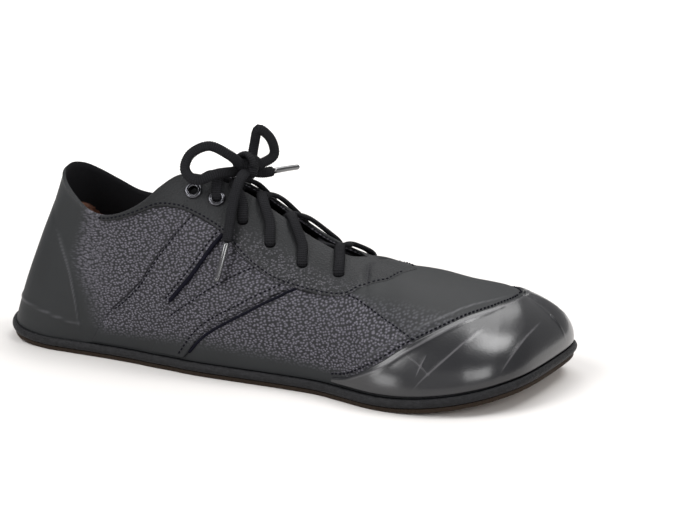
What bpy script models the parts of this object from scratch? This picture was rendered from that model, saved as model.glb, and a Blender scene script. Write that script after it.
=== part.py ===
"""Lace-up barefoot shoe for the right foot, empty and standing on its sole.

+X runs from heel to toe, +Y to the inner (big toe) side and +Z up. The origin is on the floor,
under the middle of the sole's length and width.

Every upright form of the shoe comes from one surface, wall(side, row, climb). The tables TOP_LINE
and WALLS hold a row for each section of the last, from the back seam to the toe tip. A section's two
wall curves climb from the feather line, where the upper meets the sole, to the top line: the collar,
the edge of the throat, or the ridge of the vamp. The soles are offsets of the feather line, and
the toe cap, facing and straps are sheets that lie on the wall.
"""

import math
from collections import namedtuple

import bmesh
import bpy
from mathutils import Matrix, Vector

MM = 0.001

# Driving sizes of the last
LAST_LENGTH = 282 * MM
BALL_WIDTH = 108 * MM
HEEL_HEIGHT = 81 * MM
INSTEP_HEIGHT = 84 * MM
TOE_HEIGHT = 31 * MM

# Sole
OUTSOLE_THICKNESS = 2.0 * MM
OUTSOLE_INSET = 1.6 * MM
OUTSOLE_BEVEL = 0.4 * MM
MIDSOLE_THICKNESS = 4.0 * MM
MIDSOLE_EDGE_RADIUS = 1.5 * MM
FLANGE = 3.0 * MM
TOE_SPRING = 9.0 * MM
HEEL_SPRING = 3.0 * MM
ARCH_LIFT = 1.5 * MM
TOE_SPRING_FROM = 0.76 * LAST_LENGTH
HEEL_SPRING_TO = 0.12 * LAST_LENGTH
ARCH_MIDDLE = 0.43 * LAST_LENGTH
ARCH_HALF_LENGTH = 0.14 * LAST_LENGTH
ARCH_HALF_WIDTH = 0.30 * BALL_WIDTH
INSOLE_THICKNESS = 2.5 * MM
INSOLE_CLEARANCE = 1.0 * MM

# Upper and what lies on it
WALL_THICKNESS = 1.6 * MM
OVERLAY_THICKNESS = 1.1 * MM
COUNTER_STEP = 0.8 * MM
COUNTER_FRONT_LOW = 4.6  # row of the heel stiffener's front edge at the sole
COUNTER_FRONT_HIGH = 3.3  # and at the top line
COUNTER_TOP = 0.80  # climb of its upper edge
COUNTER_FADE_ROWS = 0.35
COUNTER_FADE_CLIMB = 0.06
TONGUE_THICKNESS = 2.4 * MM
TONGUE_OVERHANG = 3.0 * MM
TONGUE_ARCH = 1.6 * MM
TONGUE_REACH = 0.14  # how far the tongue goes under each side, as a share of the climb
TONGUE_FLAT = 0.45  # share of its width that lies under the throat
FULL_OPENING = 7.5 * MM  # half of the throat's gap where the laces have room above the tongue
GAP = 0.3 * MM

# Lacing
LACE_WIDTH = 5.0 * MM
LACE_THICKNESS = 2.4 * MM
CORD_DIAMETER = 3.8 * MM
KNOT_DIAMETER = 10.0 * MM
HOLE_RADIUS = 2.9 * MM
EYELET_FLANGE_RADIUS = 4.3 * MM
EYELET_HEIGHT = 1.0 * MM
EYELET_ROLL = 0.3 * MM
EYELET_BARREL_WALL = 0.5 * MM
EYELET_SIDES = 10
AGLET_DIAMETER = 3.0 * MM

# Mesh density
STEPS_PER_ROW = 2
SOLE_COLUMNS = 34
CLIMB_STEPS = 7
CORD_BEVEL_RESOLUTION = 2
LACE_SIDES = 6

OUTER, INNER = -1, 1  # the little toe's side is at -Y

# Sections of the last, from the back seam to the toe tip. Lengths are shares of LAST_LENGTH along X and
# of BALL_WIDTH along Y.
# The top line: x and y are the middle between the two top edges and gap is half of the opening there.
# height and roll are shares of the size that "of" names; roll lifts the outer edge and lowers the inner.
TopLine = namedtuple("TopLine", "name x y gap height roll of")
TOP_LINE = [
    TopLine("back seam", 0.099, 0.0, 0.0, 1.0, 0.0, "heel"),
    TopLine("heel corner", 0.106, 0.0, 0.09, 0.98, 0.0, "heel"),
    TopLine("heel side", 0.123, 0.0, 0.155, 0.931, 0.0, "heel"),
    TopLine("collar back", 0.152, 0.0, 0.205, 0.86, 0.0, "heel"),
    TopLine("collar dip", 0.188, 0.0, 0.24, 0.79, 0.0, "heel"),
    TopLine("collar low", 0.227, 0.0, 0.258, 0.775, 0.0, "heel"),
    TopLine("collar rise", 0.266, 0.0, 0.262, 0.788, 0.0, "instep"),
    TopLine("collar front", 0.296, 0.0, 0.24, 0.85, 0.0, "instep"),
    TopLine("tab back", 0.32, 0.0, 0.195, 0.918, 0.012, "instep"),
    TopLine("tab corner", 0.344, 0.0, 0.15, 0.965, 0.022, "instep"),
    TopLine("tab top", 0.372, 0.0, 0.118, 0.972, 0.024, "instep"),
    TopLine("throat top", 0.415, 0.0, 0.094, 0.938, 0.022, "instep"),
    TopLine("throat upper", 0.468, 0.0, 0.08, 0.868, 0.02, "instep"),
    TopLine("throat middle", 0.524, 0.0, 0.074, 0.765, 0.018, "instep"),
    TopLine("throat lower", 0.584, 0.003, 0.074, 0.652, 0.016, "instep"),
    TopLine("throat foot", 0.643, 0.006, 0.068, 0.582, 0.012, "instep"),
    TopLine("throat end", 0.671, 0.01, 0.0, 0.57, 0.0, "instep"),
    TopLine("vamp back", 0.718, 0.024, 0.0, 0.536, 0.0, "instep"),
    TopLine("vamp middle", 0.768, 0.046, 0.0, 0.514, 0.0, "instep"),
    TopLine("vamp front", 0.817, 0.072, 0.0, 0.476, 0.0, "instep"),
    TopLine("toe back", 0.86, 0.098, 0.0, 1.2, 0.0, "toe"),
    TopLine("toe middle", 0.892, 0.12, 0.0, 1.09, 0.0, "toe"),
    TopLine("toe front", 0.912, 0.136, 0.0, 1.01, 0.0, "toe"),
    TopLine("toe tip", 0.918, 0.142, 0.0, 0.98, 0.0, "toe"),
]
# The walls: out and in are where the section ends on the feather line on each side. stand and lean say
# how far up and how far in the lower wall keeps its first direction and belly pushes it outwards.
# shoulder carries the upper wall out towards the foot of the section and drop hangs it down.
Wall = namedtuple("Wall", "name out_x out_y in_x in_y stand lean belly shoulder drop")
WALLS = [
    Wall("back seam", 0.0, 0.0, 0.0, 0.0, 0.34, 0.33, 0.0, 0.32, 0.34),
    Wall("heel corner", 0.012, -0.135, 0.012, 0.135, 0.34, 0.285, 0.0, 0.3, 0.34),
    Wall("heel side", 0.046, -0.24, 0.046, 0.24, 0.36, 0.16, 0.02, 0.26, 0.34),
    Wall("collar back", 0.103, -0.295, 0.103, 0.29, 0.4, 0.08, 0.02, 0.18, 0.34),
    Wall("collar dip", 0.166, -0.312, 0.166, 0.305, 0.44, 0.02, 0.02, 0.1, 0.34),
    Wall("collar low", 0.231, -0.324, 0.231, 0.298, 0.45, 0.0, 0.02, 0.08, 0.34),
    Wall("collar rise", 0.289, -0.34, 0.289, 0.286, 0.45, 0.0, 0.02, 0.14, 0.34),
    Wall("collar front", 0.334, -0.362, 0.334, 0.284, 0.45, 0.0, 0.02, 0.24, 0.32),
    Wall("tab back", 0.37, -0.374, 0.37, 0.292, 0.45, 0.0, 0.02, 0.34, 0.28),
    Wall("tab corner", 0.404, -0.39, 0.404, 0.304, 0.45, 0.0, 0.02, 0.42, 0.25),
    Wall("tab top", 0.439, -0.4, 0.435, 0.32, 0.45, 0.0, 0.02, 0.44, 0.23),
    Wall("throat top", 0.485, -0.406, 0.477, 0.344, 0.45, 0.0, 0.02, 0.44, 0.22),
    Wall("throat upper", 0.538, -0.412, 0.528, 0.376, 0.45, 0.0, 0.02, 0.44, 0.22),
    Wall("throat middle", 0.596, -0.42, 0.586, 0.41, 0.45, 0.0, 0.02, 0.44, 0.22),
    Wall("throat lower", 0.655, -0.436, 0.645, 0.44, 0.45, 0.0, 0.02, 0.46, 0.22),
    Wall("throat foot", 0.706, -0.478, 0.698, 0.464, 0.45, 0.0, 0.02, 0.5, 0.16),
    Wall("throat end", 0.752, -0.518, 0.748, 0.482, 0.45, 0.0, 0.02, 0.54, 0.04),
    Wall("vamp back", 0.793, -0.536, 0.797, 0.492, 0.45, 0.0, 0.02, 0.56, 0.0),
    Wall("vamp middle", 0.833, -0.534, 0.843, 0.494, 0.45, 0.0, 0.02, 0.58, 0.0),
    Wall("vamp front", 0.875, -0.508, 0.889, 0.484, 0.45, 0.0, 0.02, 0.58, 0.0),
    Wall("toe back", 0.915, -0.456, 0.931, 0.456, 0.45, 0.0, 0.02, 0.58, 0.0),
    Wall("toe middle", 0.953, -0.364, 0.966, 0.402, 0.45, 0.0, 0.02, 0.56, 0.0),
    Wall("toe front", 0.984, -0.194, 0.99, 0.322, 0.45, 0.0, 0.02, 0.54, 0.0),
    Wall("toe tip", 0.998, 0.15, 0.998, 0.15, 0.45, 0.0, 0.02, 0.52, 0.0),
]
SIZE_OF = {"heel": HEEL_HEIGHT, "instep": INSTEP_HEIGHT, "toe": TOE_HEIGHT}
LAST_ROW = len(TOP_LINE) - 1
ROW = {section.name: number for number, section in enumerate(TOP_LINE)}

FEATHER_Z = OUTSOLE_THICKNESS + GAP + MIDSOLE_THICKNESS + GAP


def curve_value(values, at, before, after):
    """The smooth curve through values, one a row, read at a row number.

    before and after are the values past its two ends.
    """
    low = min(int(math.floor(at)), len(values) - 2)
    low = max(low, 0)
    t = at - low
    row = [before, *values, after]
    a, b, c, d = row[low : low + 4]
    return 0.5 * (2 * b + (c - a) * t + (2 * a - 5 * b + 4 * c - d) * t * t + (3 * b - a - 3 * c + d) * t**3)


def column(table, name, share_of=1.0):
    return [getattr(section, name) * share_of for section in table]


COLUMNS = {
    "top_x": column(TOP_LINE, "x", LAST_LENGTH),
    "top_y": column(TOP_LINE, "y", BALL_WIDTH),
    "gap": column(TOP_LINE, "gap", BALL_WIDTH),
    "height": [section.height * SIZE_OF[section.of] for section in TOP_LINE],
    "roll": [section.roll * SIZE_OF[section.of] for section in TOP_LINE],
    "out_x": column(WALLS, "out_x", LAST_LENGTH),
    "out_y": column(WALLS, "out_y", BALL_WIDTH),
    "in_x": column(WALLS, "in_x", LAST_LENGTH),
    "in_y": column(WALLS, "in_y", BALL_WIDTH),
    "stand": column(WALLS, "stand"),
    "lean": column(WALLS, "lean"),
    "belly": column(WALLS, "belly", BALL_WIDTH),
    "shoulder": column(WALLS, "shoulder"),
    "drop": column(WALLS, "drop"),
}


def read(name, row, mirror=None):
    """A column at any row number.

    Past the heel and the toe it goes on as its mirror column does on the other side.
    """
    values = COLUMNS[name]
    beyond = COLUMNS[mirror or name]
    return curve_value(values, row, beyond[1], beyond[-2])


def sole_rise(x, y):
    """How far the underside of the sole lies above the floor at a place of the plan."""
    toe = max(0.0, (x - TOE_SPRING_FROM) / (LAST_LENGTH - TOE_SPRING_FROM))
    heel = max(0.0, (HEEL_SPRING_TO - x) / HEEL_SPRING_TO)
    arch_along = max(0.0, 1 - ((x - ARCH_MIDDLE) / ARCH_HALF_LENGTH) ** 2)
    arch_across = min(1.0, max(0.0, y / ARCH_HALF_WIDTH))
    return TOE_SPRING * toe**2 + HEEL_SPRING * heel**2 + ARCH_LIFT * arch_along**2 * arch_across**2


def feather(side, row, outwards=0.0):
    """A point of the feather line's plan, moved outwards by a distance."""
    ends = ("out_x", "out_y", "in_x", "in_y") if side == OUTER else ("in_x", "in_y", "out_x", "out_y")
    x, y = read(ends[0], row, ends[2]), read(ends[1], row, ends[3])
    if outwards == 0.0:
        return x, y
    step = 0.01
    x0, y0 = read(ends[0], row - step, ends[2]), read(ends[1], row - step, ends[3])
    x1, y1 = read(ends[0], row + step, ends[2]), read(ends[1], row + step, ends[3])
    along_x, along_y = x1 - x0, y1 - y0
    length = math.hypot(along_x, along_y)
    return x - side * along_y * outwards / length, y + side * along_x * outwards / length


def foot(side, row):
    x, y = feather(side, row)
    return Vector((x, y, FEATHER_Z + sole_rise(x, y)))


def opening(row):
    """Half of the gap between the top edges; none on the vamp."""
    values = COLUMNS["gap"]
    if row >= ROW["throat end"]:
        return 0.0
    return max(0.0, curve_value(values, row, -values[1], 0.0))


def top(side, row):
    x = read("top_x", row)
    y = read("top_y", row) + side * opening(row)
    roll = read("roll", row) if row < ROW["throat end"] else 0.0
    return Vector((x, y, FEATHER_Z + sole_rise(x, 0.0) + read("height", row) - side * roll))


def counter_step(row, climb):
    """The heel stiffener inside the wall shows as a low step."""
    edge = COUNTER_FRONT_LOW + (COUNTER_FRONT_HIGH - COUNTER_FRONT_LOW) * climb
    behind = min(1.0, max(0.0, (edge - row) / COUNTER_FADE_ROWS))
    below = min(1.0, max(0.0, (COUNTER_TOP - climb) / COUNTER_FADE_CLIMB))
    return COUNTER_STEP * behind * below


def bare_wall(side, row, climb):
    low, high = foot(side, row), top(side, row)
    out = Vector((low.x - high.x, low.y - high.y, 0.0))
    height = high.z - low.z
    step = 0.02
    ahead, behind = top(side, min(row + step, LAST_ROW)), top(side, max(row - step, 0))
    run = ahead.x - behind.x
    slope = (ahead.z - behind.z) / run if opening(row) == 0.0 and run > 1e-6 and row > 1 else 0.0
    shoulder = read("shoulder", row)
    lower = low + Vector((0, 0, read("stand", row) * height)) - out * read("lean", row)
    lower += out.normalized() * read("belly", row)
    upper = high + out * shoulder + Vector((0, 0, slope * out.x * shoulder - read("drop", row) * height))
    a, b, c, d = (1 - climb) ** 3, 3 * climb * (1 - climb) ** 2, 3 * climb**2 * (1 - climb), climb**3
    return low * a + lower * b + upper * c + high * d


def one_sided_normal(side, row, climb):
    step = 0.01
    along = bare_wall(side, min(row + step, LAST_ROW), climb) - bare_wall(side, max(row - step, 0), climb)
    up = bare_wall(side, row, min(climb + step, 1)) - bare_wall(side, row, max(climb - step, 0))
    return (along.cross(up) * -side).normalized()


def normal(side, row, climb):
    """The wall's outward direction, shared by both sides where they meet."""
    found = one_sided_normal(side, row, climb)
    on_ridge = climb > 0.999 and opening(row) == 0.0
    if on_ridge or row in (0, LAST_ROW):
        found = (found + one_sided_normal(-side, row, climb)).normalized()
    return found


def wall(side, row, climb, lift=0.0):
    """A point of the upper's outer face, lifted off it by a distance."""
    out = normal(side, row, climb)
    return bare_wall(side, row, climb) + out * (lift + counter_step(row, climb))


# Objects


def material(name, colour, roughness, metallic=0.0):
    made = bpy.data.materials.new(name)
    made.use_nodes = True
    shader = made.node_tree.nodes["Principled BSDF"]
    shader.inputs["Base Color"].default_value = (*colour, 1.0)
    shader.inputs["Roughness"].default_value = roughness
    shader.inputs["Metallic"].default_value = metallic
    return made


def keep(name, data, finish, parent):
    """Puts a mesh or curve into the scene as one piece of the shoe."""
    piece = bpy.data.objects.new(name, data)
    bpy.context.scene.collection.objects.link(piece)
    piece.data.materials.append(finish)
    piece.parent = parent
    if isinstance(data, bpy.types.Mesh):
        data.shade_smooth()
        data.set_sharp_from_angle(angle=math.radians(40))
    return piece


def closed_mesh(name, mesh_edit):
    bmesh.ops.remove_doubles(mesh_edit, verts=mesh_edit.verts, dist=0.005 * MM)
    bmesh.ops.dissolve_degenerate(mesh_edit, edges=mesh_edit.edges, dist=0.002 * MM)
    bmesh.ops.triangulate(mesh_edit, faces=mesh_edit.faces)
    bmesh.ops.recalc_face_normals(mesh_edit, faces=mesh_edit.faces)
    mesh = bpy.data.meshes.new(name)
    mesh_edit.to_mesh(mesh)
    mesh_edit.free()
    return mesh


def sheet(name, columns, low, high, ring=False):
    """A solid sheet on the wall.

    columns holds lists of (side, row, climb) from the lower edge to the upper one, low and high are the
    lifts of its two faces. Where two columns end on the vamp's ridge they join.
    """
    mesh_edit = bmesh.new()
    faces = []
    for lift in (low, high):
        faces.append([[mesh_edit.verts.new(wall(*place, lift)) for place in line] for line in columns])
    inner, outer = faces
    last = len(columns) - 1
    for i in range(last + 1 if ring else last):
        j = (i + 1) % (last + 1)
        for k in range(len(columns[i]) - 1):
            mesh_edit.faces.new((outer[i][k], outer[j][k], outer[j][k + 1], outer[i][k + 1]))
            mesh_edit.faces.new((inner[i][k + 1], inner[j][k + 1], inner[j][k], inner[i][k]))
        mesh_edit.faces.new((inner[i][0], inner[j][0], outer[j][0], outer[i][0]))
        on_ridge = all(c[-1][2] == 1.0 and opening(c[-1][1]) == 0.0 for c in (columns[i], columns[j]))
        if not on_ridge:
            mesh_edit.faces.new((outer[i][-1], outer[j][-1], inner[j][-1], inner[i][-1]))
    if not ring:
        for i in (0, last):
            for k in range(len(columns[i]) - 1):
                mesh_edit.faces.new((outer[i][k], outer[i][k + 1], inner[i][k + 1], inner[i][k]))
    return closed_mesh(name, mesh_edit)


def spread(start, end, count):
    return [start + (end - start) * i / count for i in range(count + 1)]


def wall_grid(from_row, to_row, lower, upper):
    """Columns from a row on the outer side, round the front, to the same row on the inner side.

    They follow the upper's own mesh, cut off below and above by two edges that are functions of the row,
    so that a sheet on the wall bends where the wall's facets do.
    """
    rows = [row for row in spread(0, LAST_ROW, LAST_ROW * STEPS_PER_ROW) if from_row < row < to_row]
    rows = [from_row, *rows, to_row]
    places = [(OUTER, row) for row in rows] + [(INNER, row) for row in reversed(rows[:-1])]
    climbs = spread(0.0, 1.0, CLIMB_STEPS)
    return [
        [(side, row, min(max(climb, lower(row)), upper(row))) for climb in climbs] for side, row in places
    ]


def make_upper():
    columns = wall_grid(0, LAST_ROW, lambda row: 0.0, lambda row: 1.0)
    return sheet("upper", columns[:-1], -WALL_THICKNESS, 0.0, ring=True)


# Edges that run across the wall, as (row, climb) places. Toe cap and straps end just above the sole.
OVERLAY_FOOT = 0.03
# The toe cap's rear edge, from the sole to its highest point over the toes
CAP_EDGE = [
    (14.6, 0.05), (15.3, 0.09), (16.7, 0.24), (18.0, 0.40), (18.9, 0.52), (20.4, 0.71),
    (21.5, 0.84), (22.4, 0.92), (23.0, 0.96),
]
# The facing's lower edge, from the collar to its point on the vamp
FACING_EDGE = [
    (5.4, 0.955), (7.3, 0.91), (8.7, 0.80), (9.6, 0.74), (10.3, 0.70), (11.0, 0.65), (11.65, 0.56),
    (12.4, 0.51), (13.1, 0.515), (14.3, 0.58), (15.3, 0.66), (16.7, 0.81), (17.3, 0.92), (17.7, 1.00),
]


def edge_at(table, row):
    """Height of an edge given as (row, climb) places, joined by straight stretches."""
    for (row_a, climb_a), (row_b, climb_b) in zip(table, table[1:]):
        if row <= row_b:
            share = max(0.0, (row - row_a) / (row_b - row_a))
            return climb_a + (climb_b - climb_a) * share
    return table[-1][1]


def make_toe_cap():
    first = CAP_EDGE[0][0]
    columns = wall_grid(first, LAST_ROW, lambda row: OVERLAY_FOOT, lambda row: edge_at(CAP_EDGE, row))
    return sheet("toe_cap", columns, GAP, GAP + OVERLAY_THICKNESS)


def make_facing():
    first, last = FACING_EDGE[0][0], FACING_EDGE[-1][0]
    columns = wall_grid(first, last, lambda row: edge_at(FACING_EDGE, row), lambda row: 1.0)
    return sheet("facing", columns, GAP, GAP + OVERLAY_THICKNESS)


# The straps' rear and front edges, each from the facing down to the sole
Strap = namedtuple("Strap", "name rear_edge front_edge")
STRAPS = [
    Strap(
        "rear_strap",
        [(9.6, 0.70), (8.4, 0.61), (7.1, 0.51), (5.6, 0.30), (4.6, OVERLAY_FOOT)],
        [(10.9, 0.64), (10.3, 0.53), (9.3, 0.39), (7.9, 0.25), (6.7, OVERLAY_FOOT)],
    ),
    Strap(
        "front_strap",
        [(12.0, 0.505), (10.9, 0.40), (9.6, 0.30), (8.1, 0.22), (6.9, OVERLAY_FOOT)],
        [(13.3, 0.49), (12.5, 0.39), (11.4, 0.26), (9.9, 0.12), (8.9, OVERLAY_FOOT)],
    ),
]


def make_strap(strap, side):
    def edge(places, down):
        at = down * (len(places) - 1)
        values = [[place[k] for place in places] for k in (0, 1)]
        return [curve_value(v, at, 2 * v[0] - v[1], 2 * v[-1] - v[-2]) for v in values]

    columns = []
    for down in spread(0.0, 1.0, 8):
        rear, front = edge(strap.rear_edge, down), edge(strap.front_edge, down)
        line = [[a + (b - a) * across for a, b in zip(rear, front)] for across in spread(0.0, 1.0, 3)]
        columns.append([(side, row, climb) for row, climb in line])
    return sheet(strap.name, columns, GAP, GAP + OVERLAY_THICKNESS)


def plate(name, rings, across):
    """A sole layer.

    rings holds (outwards, height) of its edge from the underside round to the top. Cross strips join the
    plan's two halves.
    """
    mesh_edit = bmesh.new()
    rows = spread(0, LAST_ROW, SOLE_COLUMNS)

    def at(x, y, height):
        return mesh_edit.verts.new((x, y, height + sole_rise(x, y)))

    def half(side):
        return [[at(*feather(side, row, out), z) for out, z in rings] for row in rows]

    outer, inner = half(OUTER), half(INNER)
    for side in (outer, inner):
        for a, b in zip(side, side[1:]):
            for k in range(len(rings) - 1):
                mesh_edit.faces.new((a[k], b[k], b[k + 1], a[k + 1]))
    for k, height in ((0, rings[0][1]), (-1, rings[-1][1])):
        lines = []
        for left, right in zip(outer, inner):
            a, b = left[k].co, right[k].co
            between = [a.lerp(b, i / across) for i in range(1, across)]
            lines.append([left[k], *(at(p.x, p.y, height) for p in between), right[k]])
        for a, b in zip(lines, lines[1:]):
            for i in range(across):
                mesh_edit.faces.new((a[i], b[i], b[i + 1], a[i + 1]))
    return closed_mesh(name, mesh_edit)


def make_outsole():
    edge = FLANGE - OUTSOLE_INSET
    rings = [(edge - OUTSOLE_BEVEL, 0.0), (edge, OUTSOLE_BEVEL), (edge, OUTSOLE_THICKNESS)]
    return plate("outsole", rings, 2)


def make_midsole():
    low = OUTSOLE_THICKNESS + GAP
    high = low + MIDSOLE_THICKNESS
    radius = MIDSOLE_EDGE_RADIUS
    rings = [(FLANGE - radius, low), (FLANGE, low + radius), (FLANGE, high - radius), (FLANGE - radius, high)]
    return plate("midsole", rings, 2)


def make_insole():
    inset = -(WALL_THICKNESS + INSOLE_CLEARANCE)
    low = FEATHER_Z
    rings = [(inset, low), (inset, low + INSOLE_THICKNESS)]
    return plate("insole", rings, 2)


def under_throat(row, across):
    """A point of the tongue's outer face. across runs from -1 at its outer edge to 1 at its inner one."""
    open_share = min(1.0, opening(row) / FULL_OPENING)
    depth = -(WALL_THICKNESS + 2 * GAP + (LACE_THICKNESS + 2 * GAP) * open_share)
    inner_climb = 1.0 - TONGUE_REACH + 0.5 * TONGUE_REACH * open_share
    outer_climb = inner_climb - TONGUE_REACH
    reach = abs(across)
    if reach > TONGUE_FLAT:
        climb = inner_climb + (outer_climb - inner_climb) * (reach - TONGUE_FLAT) / (1 - TONGUE_FLAT)
        return wall(OUTER if across < 0 else INNER, row, climb, depth)
    left, right = wall(OUTER, row, inner_climb, depth), wall(INNER, row, inner_climb, depth)
    arch = TONGUE_ARCH * open_share * (1 - (across / TONGUE_FLAT) ** 2)
    return left.lerp(right, 0.5 + 0.5 * across / TONGUE_FLAT) + Vector((0, 0, arch))


def make_tongue():
    mesh_edit = bmesh.new()
    rows = spread(ROW["tab corner"] + 0.35, ROW["vamp back"] + 0.4, 13)
    layers = []
    for thickness in (0.0, TONGUE_THICKNESS):
        lines = []
        for number, row in enumerate(rows):
            points = [under_throat(row, across) for across in spread(-1.0, 1.0, 8)]
            lines.append([p - Vector((0, 0, thickness)) for p in points])
        first, second = lines[0], lines[1]
        overhang = [a + (a - b).normalized() * TONGUE_OVERHANG for a, b in zip(first, second)]
        middle = (len(first) - 1) / 2
        rounded = [
            a.lerp(b, 1 - 0.8 * (abs(i - middle) / middle) ** 4)
            for i, (a, b) in enumerate(zip(first, overhang))
        ]
        half_way = [a.lerp(b, 0.5) for a, b in zip(first, rounded)]
        lines = [rounded, half_way, *lines]
        layers.append([[mesh_edit.verts.new(p) for p in line] for line in lines])
    upper, lower = layers
    for a, b, c, d in zip(upper, upper[1:], lower, lower[1:]):
        for i in range(len(a) - 1):
            mesh_edit.faces.new((a[i], a[i + 1], b[i + 1], b[i]))
            mesh_edit.faces.new((d[i], d[i + 1], c[i + 1], c[i]))
        for i in (0, -1):
            mesh_edit.faces.new((a[i], b[i], d[i], c[i]))
    for a, b in ((upper[0], lower[0]), (upper[-1], lower[-1])):
        for i in range(len(a) - 1):
            mesh_edit.faces.new((a[i], b[i], b[i + 1], a[i + 1]))
    return closed_mesh("tongue", mesh_edit)


# Lace holes as (row, climb), from the top pair with metal eyelets down to the foot of the throat
HOLES = [(9.85, 0.875), (10.81, 0.855), (11.70, 0.78), (12.58, 0.725), (13.58, 0.72), (14.76, 0.79)]
EYELET_PAIRS = 2
FACING_TOP = GAP + OVERLAY_THICKNESS


def hole_axis(side, number):
    row, climb = HOLES[number]
    return wall(side, row, climb, FACING_TOP), normal(side, row, climb)


def turned(to):
    """The turn that carries +Z to a direction."""
    return to.to_track_quat("Z", "Y").to_matrix().to_4x4()


def make_hole_cutter():
    """One mesh of round pins through every lace hole."""
    mesh_edit = bmesh.new()
    length = 4 * (WALL_THICKNESS + FACING_TOP)
    for side in (OUTER, INNER):
        for number in range(len(HOLES)):
            centre, out = hole_axis(side, number)
            bmesh.ops.create_cone(
                mesh_edit, cap_ends=True, segments=EYELET_SIDES, radius1=HOLE_RADIUS, radius2=HOLE_RADIUS,
                depth=length, matrix=Matrix.Translation(centre) @ turned(out),
            )
    mesh = bpy.data.meshes.new("hole_cutter")
    mesh_edit.to_mesh(mesh)
    mesh_edit.free()
    return mesh


def cut_with(piece, cutter):
    holes = piece.modifiers.new("lace holes", "BOOLEAN")
    holes.operation = "DIFFERENCE"
    holes.solver = "EXACT"
    holes.object = cutter


def make_eyelet():
    """A metal eyelet about +Z: a rolled flange on the facing with a barrel down through the hole."""
    barrel = HOLE_RADIUS - GAP
    bore = barrel - EYELET_BARREL_WALL
    depth = -(WALL_THICKNESS + FACING_TOP)
    rim = EYELET_FLANGE_RADIUS
    profile = [
        (bore, depth), (barrel, depth), (barrel, GAP), (rim - EYELET_ROLL, GAP), (rim, 0.5 * EYELET_HEIGHT),
        (0.5 * (rim + bore) + EYELET_ROLL, EYELET_HEIGHT), (bore + EYELET_ROLL, 0.7 * EYELET_HEIGHT),
    ]
    mesh_edit = bmesh.new()
    ring = [mesh_edit.verts.new((radius, 0, z)) for radius, z in profile]
    edges = [mesh_edit.edges.new((a, b)) for a, b in zip(ring, ring[1:] + ring[:1])]
    bmesh.ops.spin(
        mesh_edit, geom=ring + edges, cent=(0, 0, 0), axis=(0, 0, 1), angle=2 * math.pi, steps=EYELET_SIDES,
        use_merge=True,
    )
    return closed_mesh("eyelet", mesh_edit)


def smooth_path(points, steps):
    """Points of the smooth open curve through a cord's chosen points."""
    values = [[p[k] for p in points] for k in range(3)]
    path = []
    for i in range((len(points) - 1) * steps + 1):
        at = i / steps
        path.append(
            Vector([curve_value(v, at, 2 * v[0] - v[1], 2 * v[-1] - v[-2]) for v in values])
        )
    return path


def flat_lace(name, route):
    """A flat lace swept along a route of (point, up) pairs, its flat face towards up."""
    points = smooth_path([point for point, up in route], 2)
    ups = smooth_path([up for point, up in route], 2)
    mesh_edit = bmesh.new()
    sections = []
    for i, (point, up) in enumerate(zip(points, ups)):
        along = (points[min(i + 1, len(points) - 1)] - points[max(i - 1, 0)]).normalized()
        across = along.cross(up).normalized()
        rise = across.cross(along)
        ring = []
        for k in range(LACE_SIDES):
            angle = 2 * math.pi * k / LACE_SIDES
            wide = across * (0.5 * LACE_WIDTH * math.cos(angle))
            high = rise * (0.5 * LACE_THICKNESS * math.sin(angle) / math.sin(math.pi / 3))
            ring.append(point + wide + high)
        sections.append([mesh_edit.verts.new(p) for p in ring])
    for a, b in zip(sections, sections[1:]):
        for k in range(LACE_SIDES):
            mesh_edit.faces.new((a[k], a[(k + 1) % LACE_SIDES], b[(k + 1) % LACE_SIDES], b[k]))
    mesh_edit.faces.new(sections[0])
    mesh_edit.faces.new(sections[-1])
    return closed_mesh(name, mesh_edit)


UP = Vector((0, 0, 1))
# Lift of a lace's middle where it lies on the facing, and where it runs below the wall
LACE_OVER = FACING_TOP + GAP + 0.5 * LACE_THICKNESS
LACE_UNDER = -(WALL_THICKNESS + 2 * GAP + 0.5 * LACE_THICKNESS)
# Heights of a lace's middle against the throat's edges
PROUD = 3.7 * MM
SUNK = -1.2 * MM
LOW = -3.2 * MM


def on_side(side, row, climb, lift):
    return wall(side, row, climb, lift), normal(side, row, climb)


def in_throat(side, row, share, height):
    """A place in the throat, a height above its edges.

    share runs from 1 at a side's edge to 0 in the middle and -1 at the other edge.
    """
    here, there = wall(side, row, 1.0), wall(-side, row, 1.0)
    return here.lerp(there, 0.5 - 0.5 * share) + UP * height, UP


def crossing_route(side, number):
    """From a hole over the facing's edge and across the throat to below the other side's next hole."""
    (row, climb), (next_row, next_climb) = HOLES[number], HOLES[number - 1]

    def along(share):
        return row + (next_row - row) * share

    return [
        on_side(side, row, climb, LACE_OVER),
        on_side(side, along(0.12), 0.5 * (1 + climb), LACE_OVER),
        on_side(side, along(0.25), 0.99, LACE_OVER + 2 * GAP),
        in_throat(side, along(0.40), 0.55, PROUD),
        in_throat(side, along(0.55), -0.15, SUNK),
        in_throat(side, along(0.68), -0.70, LOW),
        on_side(-side, along(0.80), 0.975, LACE_UNDER),
    ]


def hidden_crossing_route(side, number):
    """From below one side's edge to below the other side's next hole."""
    (row, climb), (next_row, next_climb) = HOLES[number], HOLES[number - 1]

    def along(share):
        return row + (next_row - row) * share

    return [
        on_side(side, along(0.30), 0.965, LACE_UNDER),
        in_throat(side, along(0.42), 0.60, 0.95 * LOW),
        in_throat(side, along(0.55), -0.10, 0.5 * LOW),
        in_throat(side, along(0.68), -0.60, 0.95 * LOW),
        on_side(-side, along(0.80), 0.965, LACE_UNDER),
    ]


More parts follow.
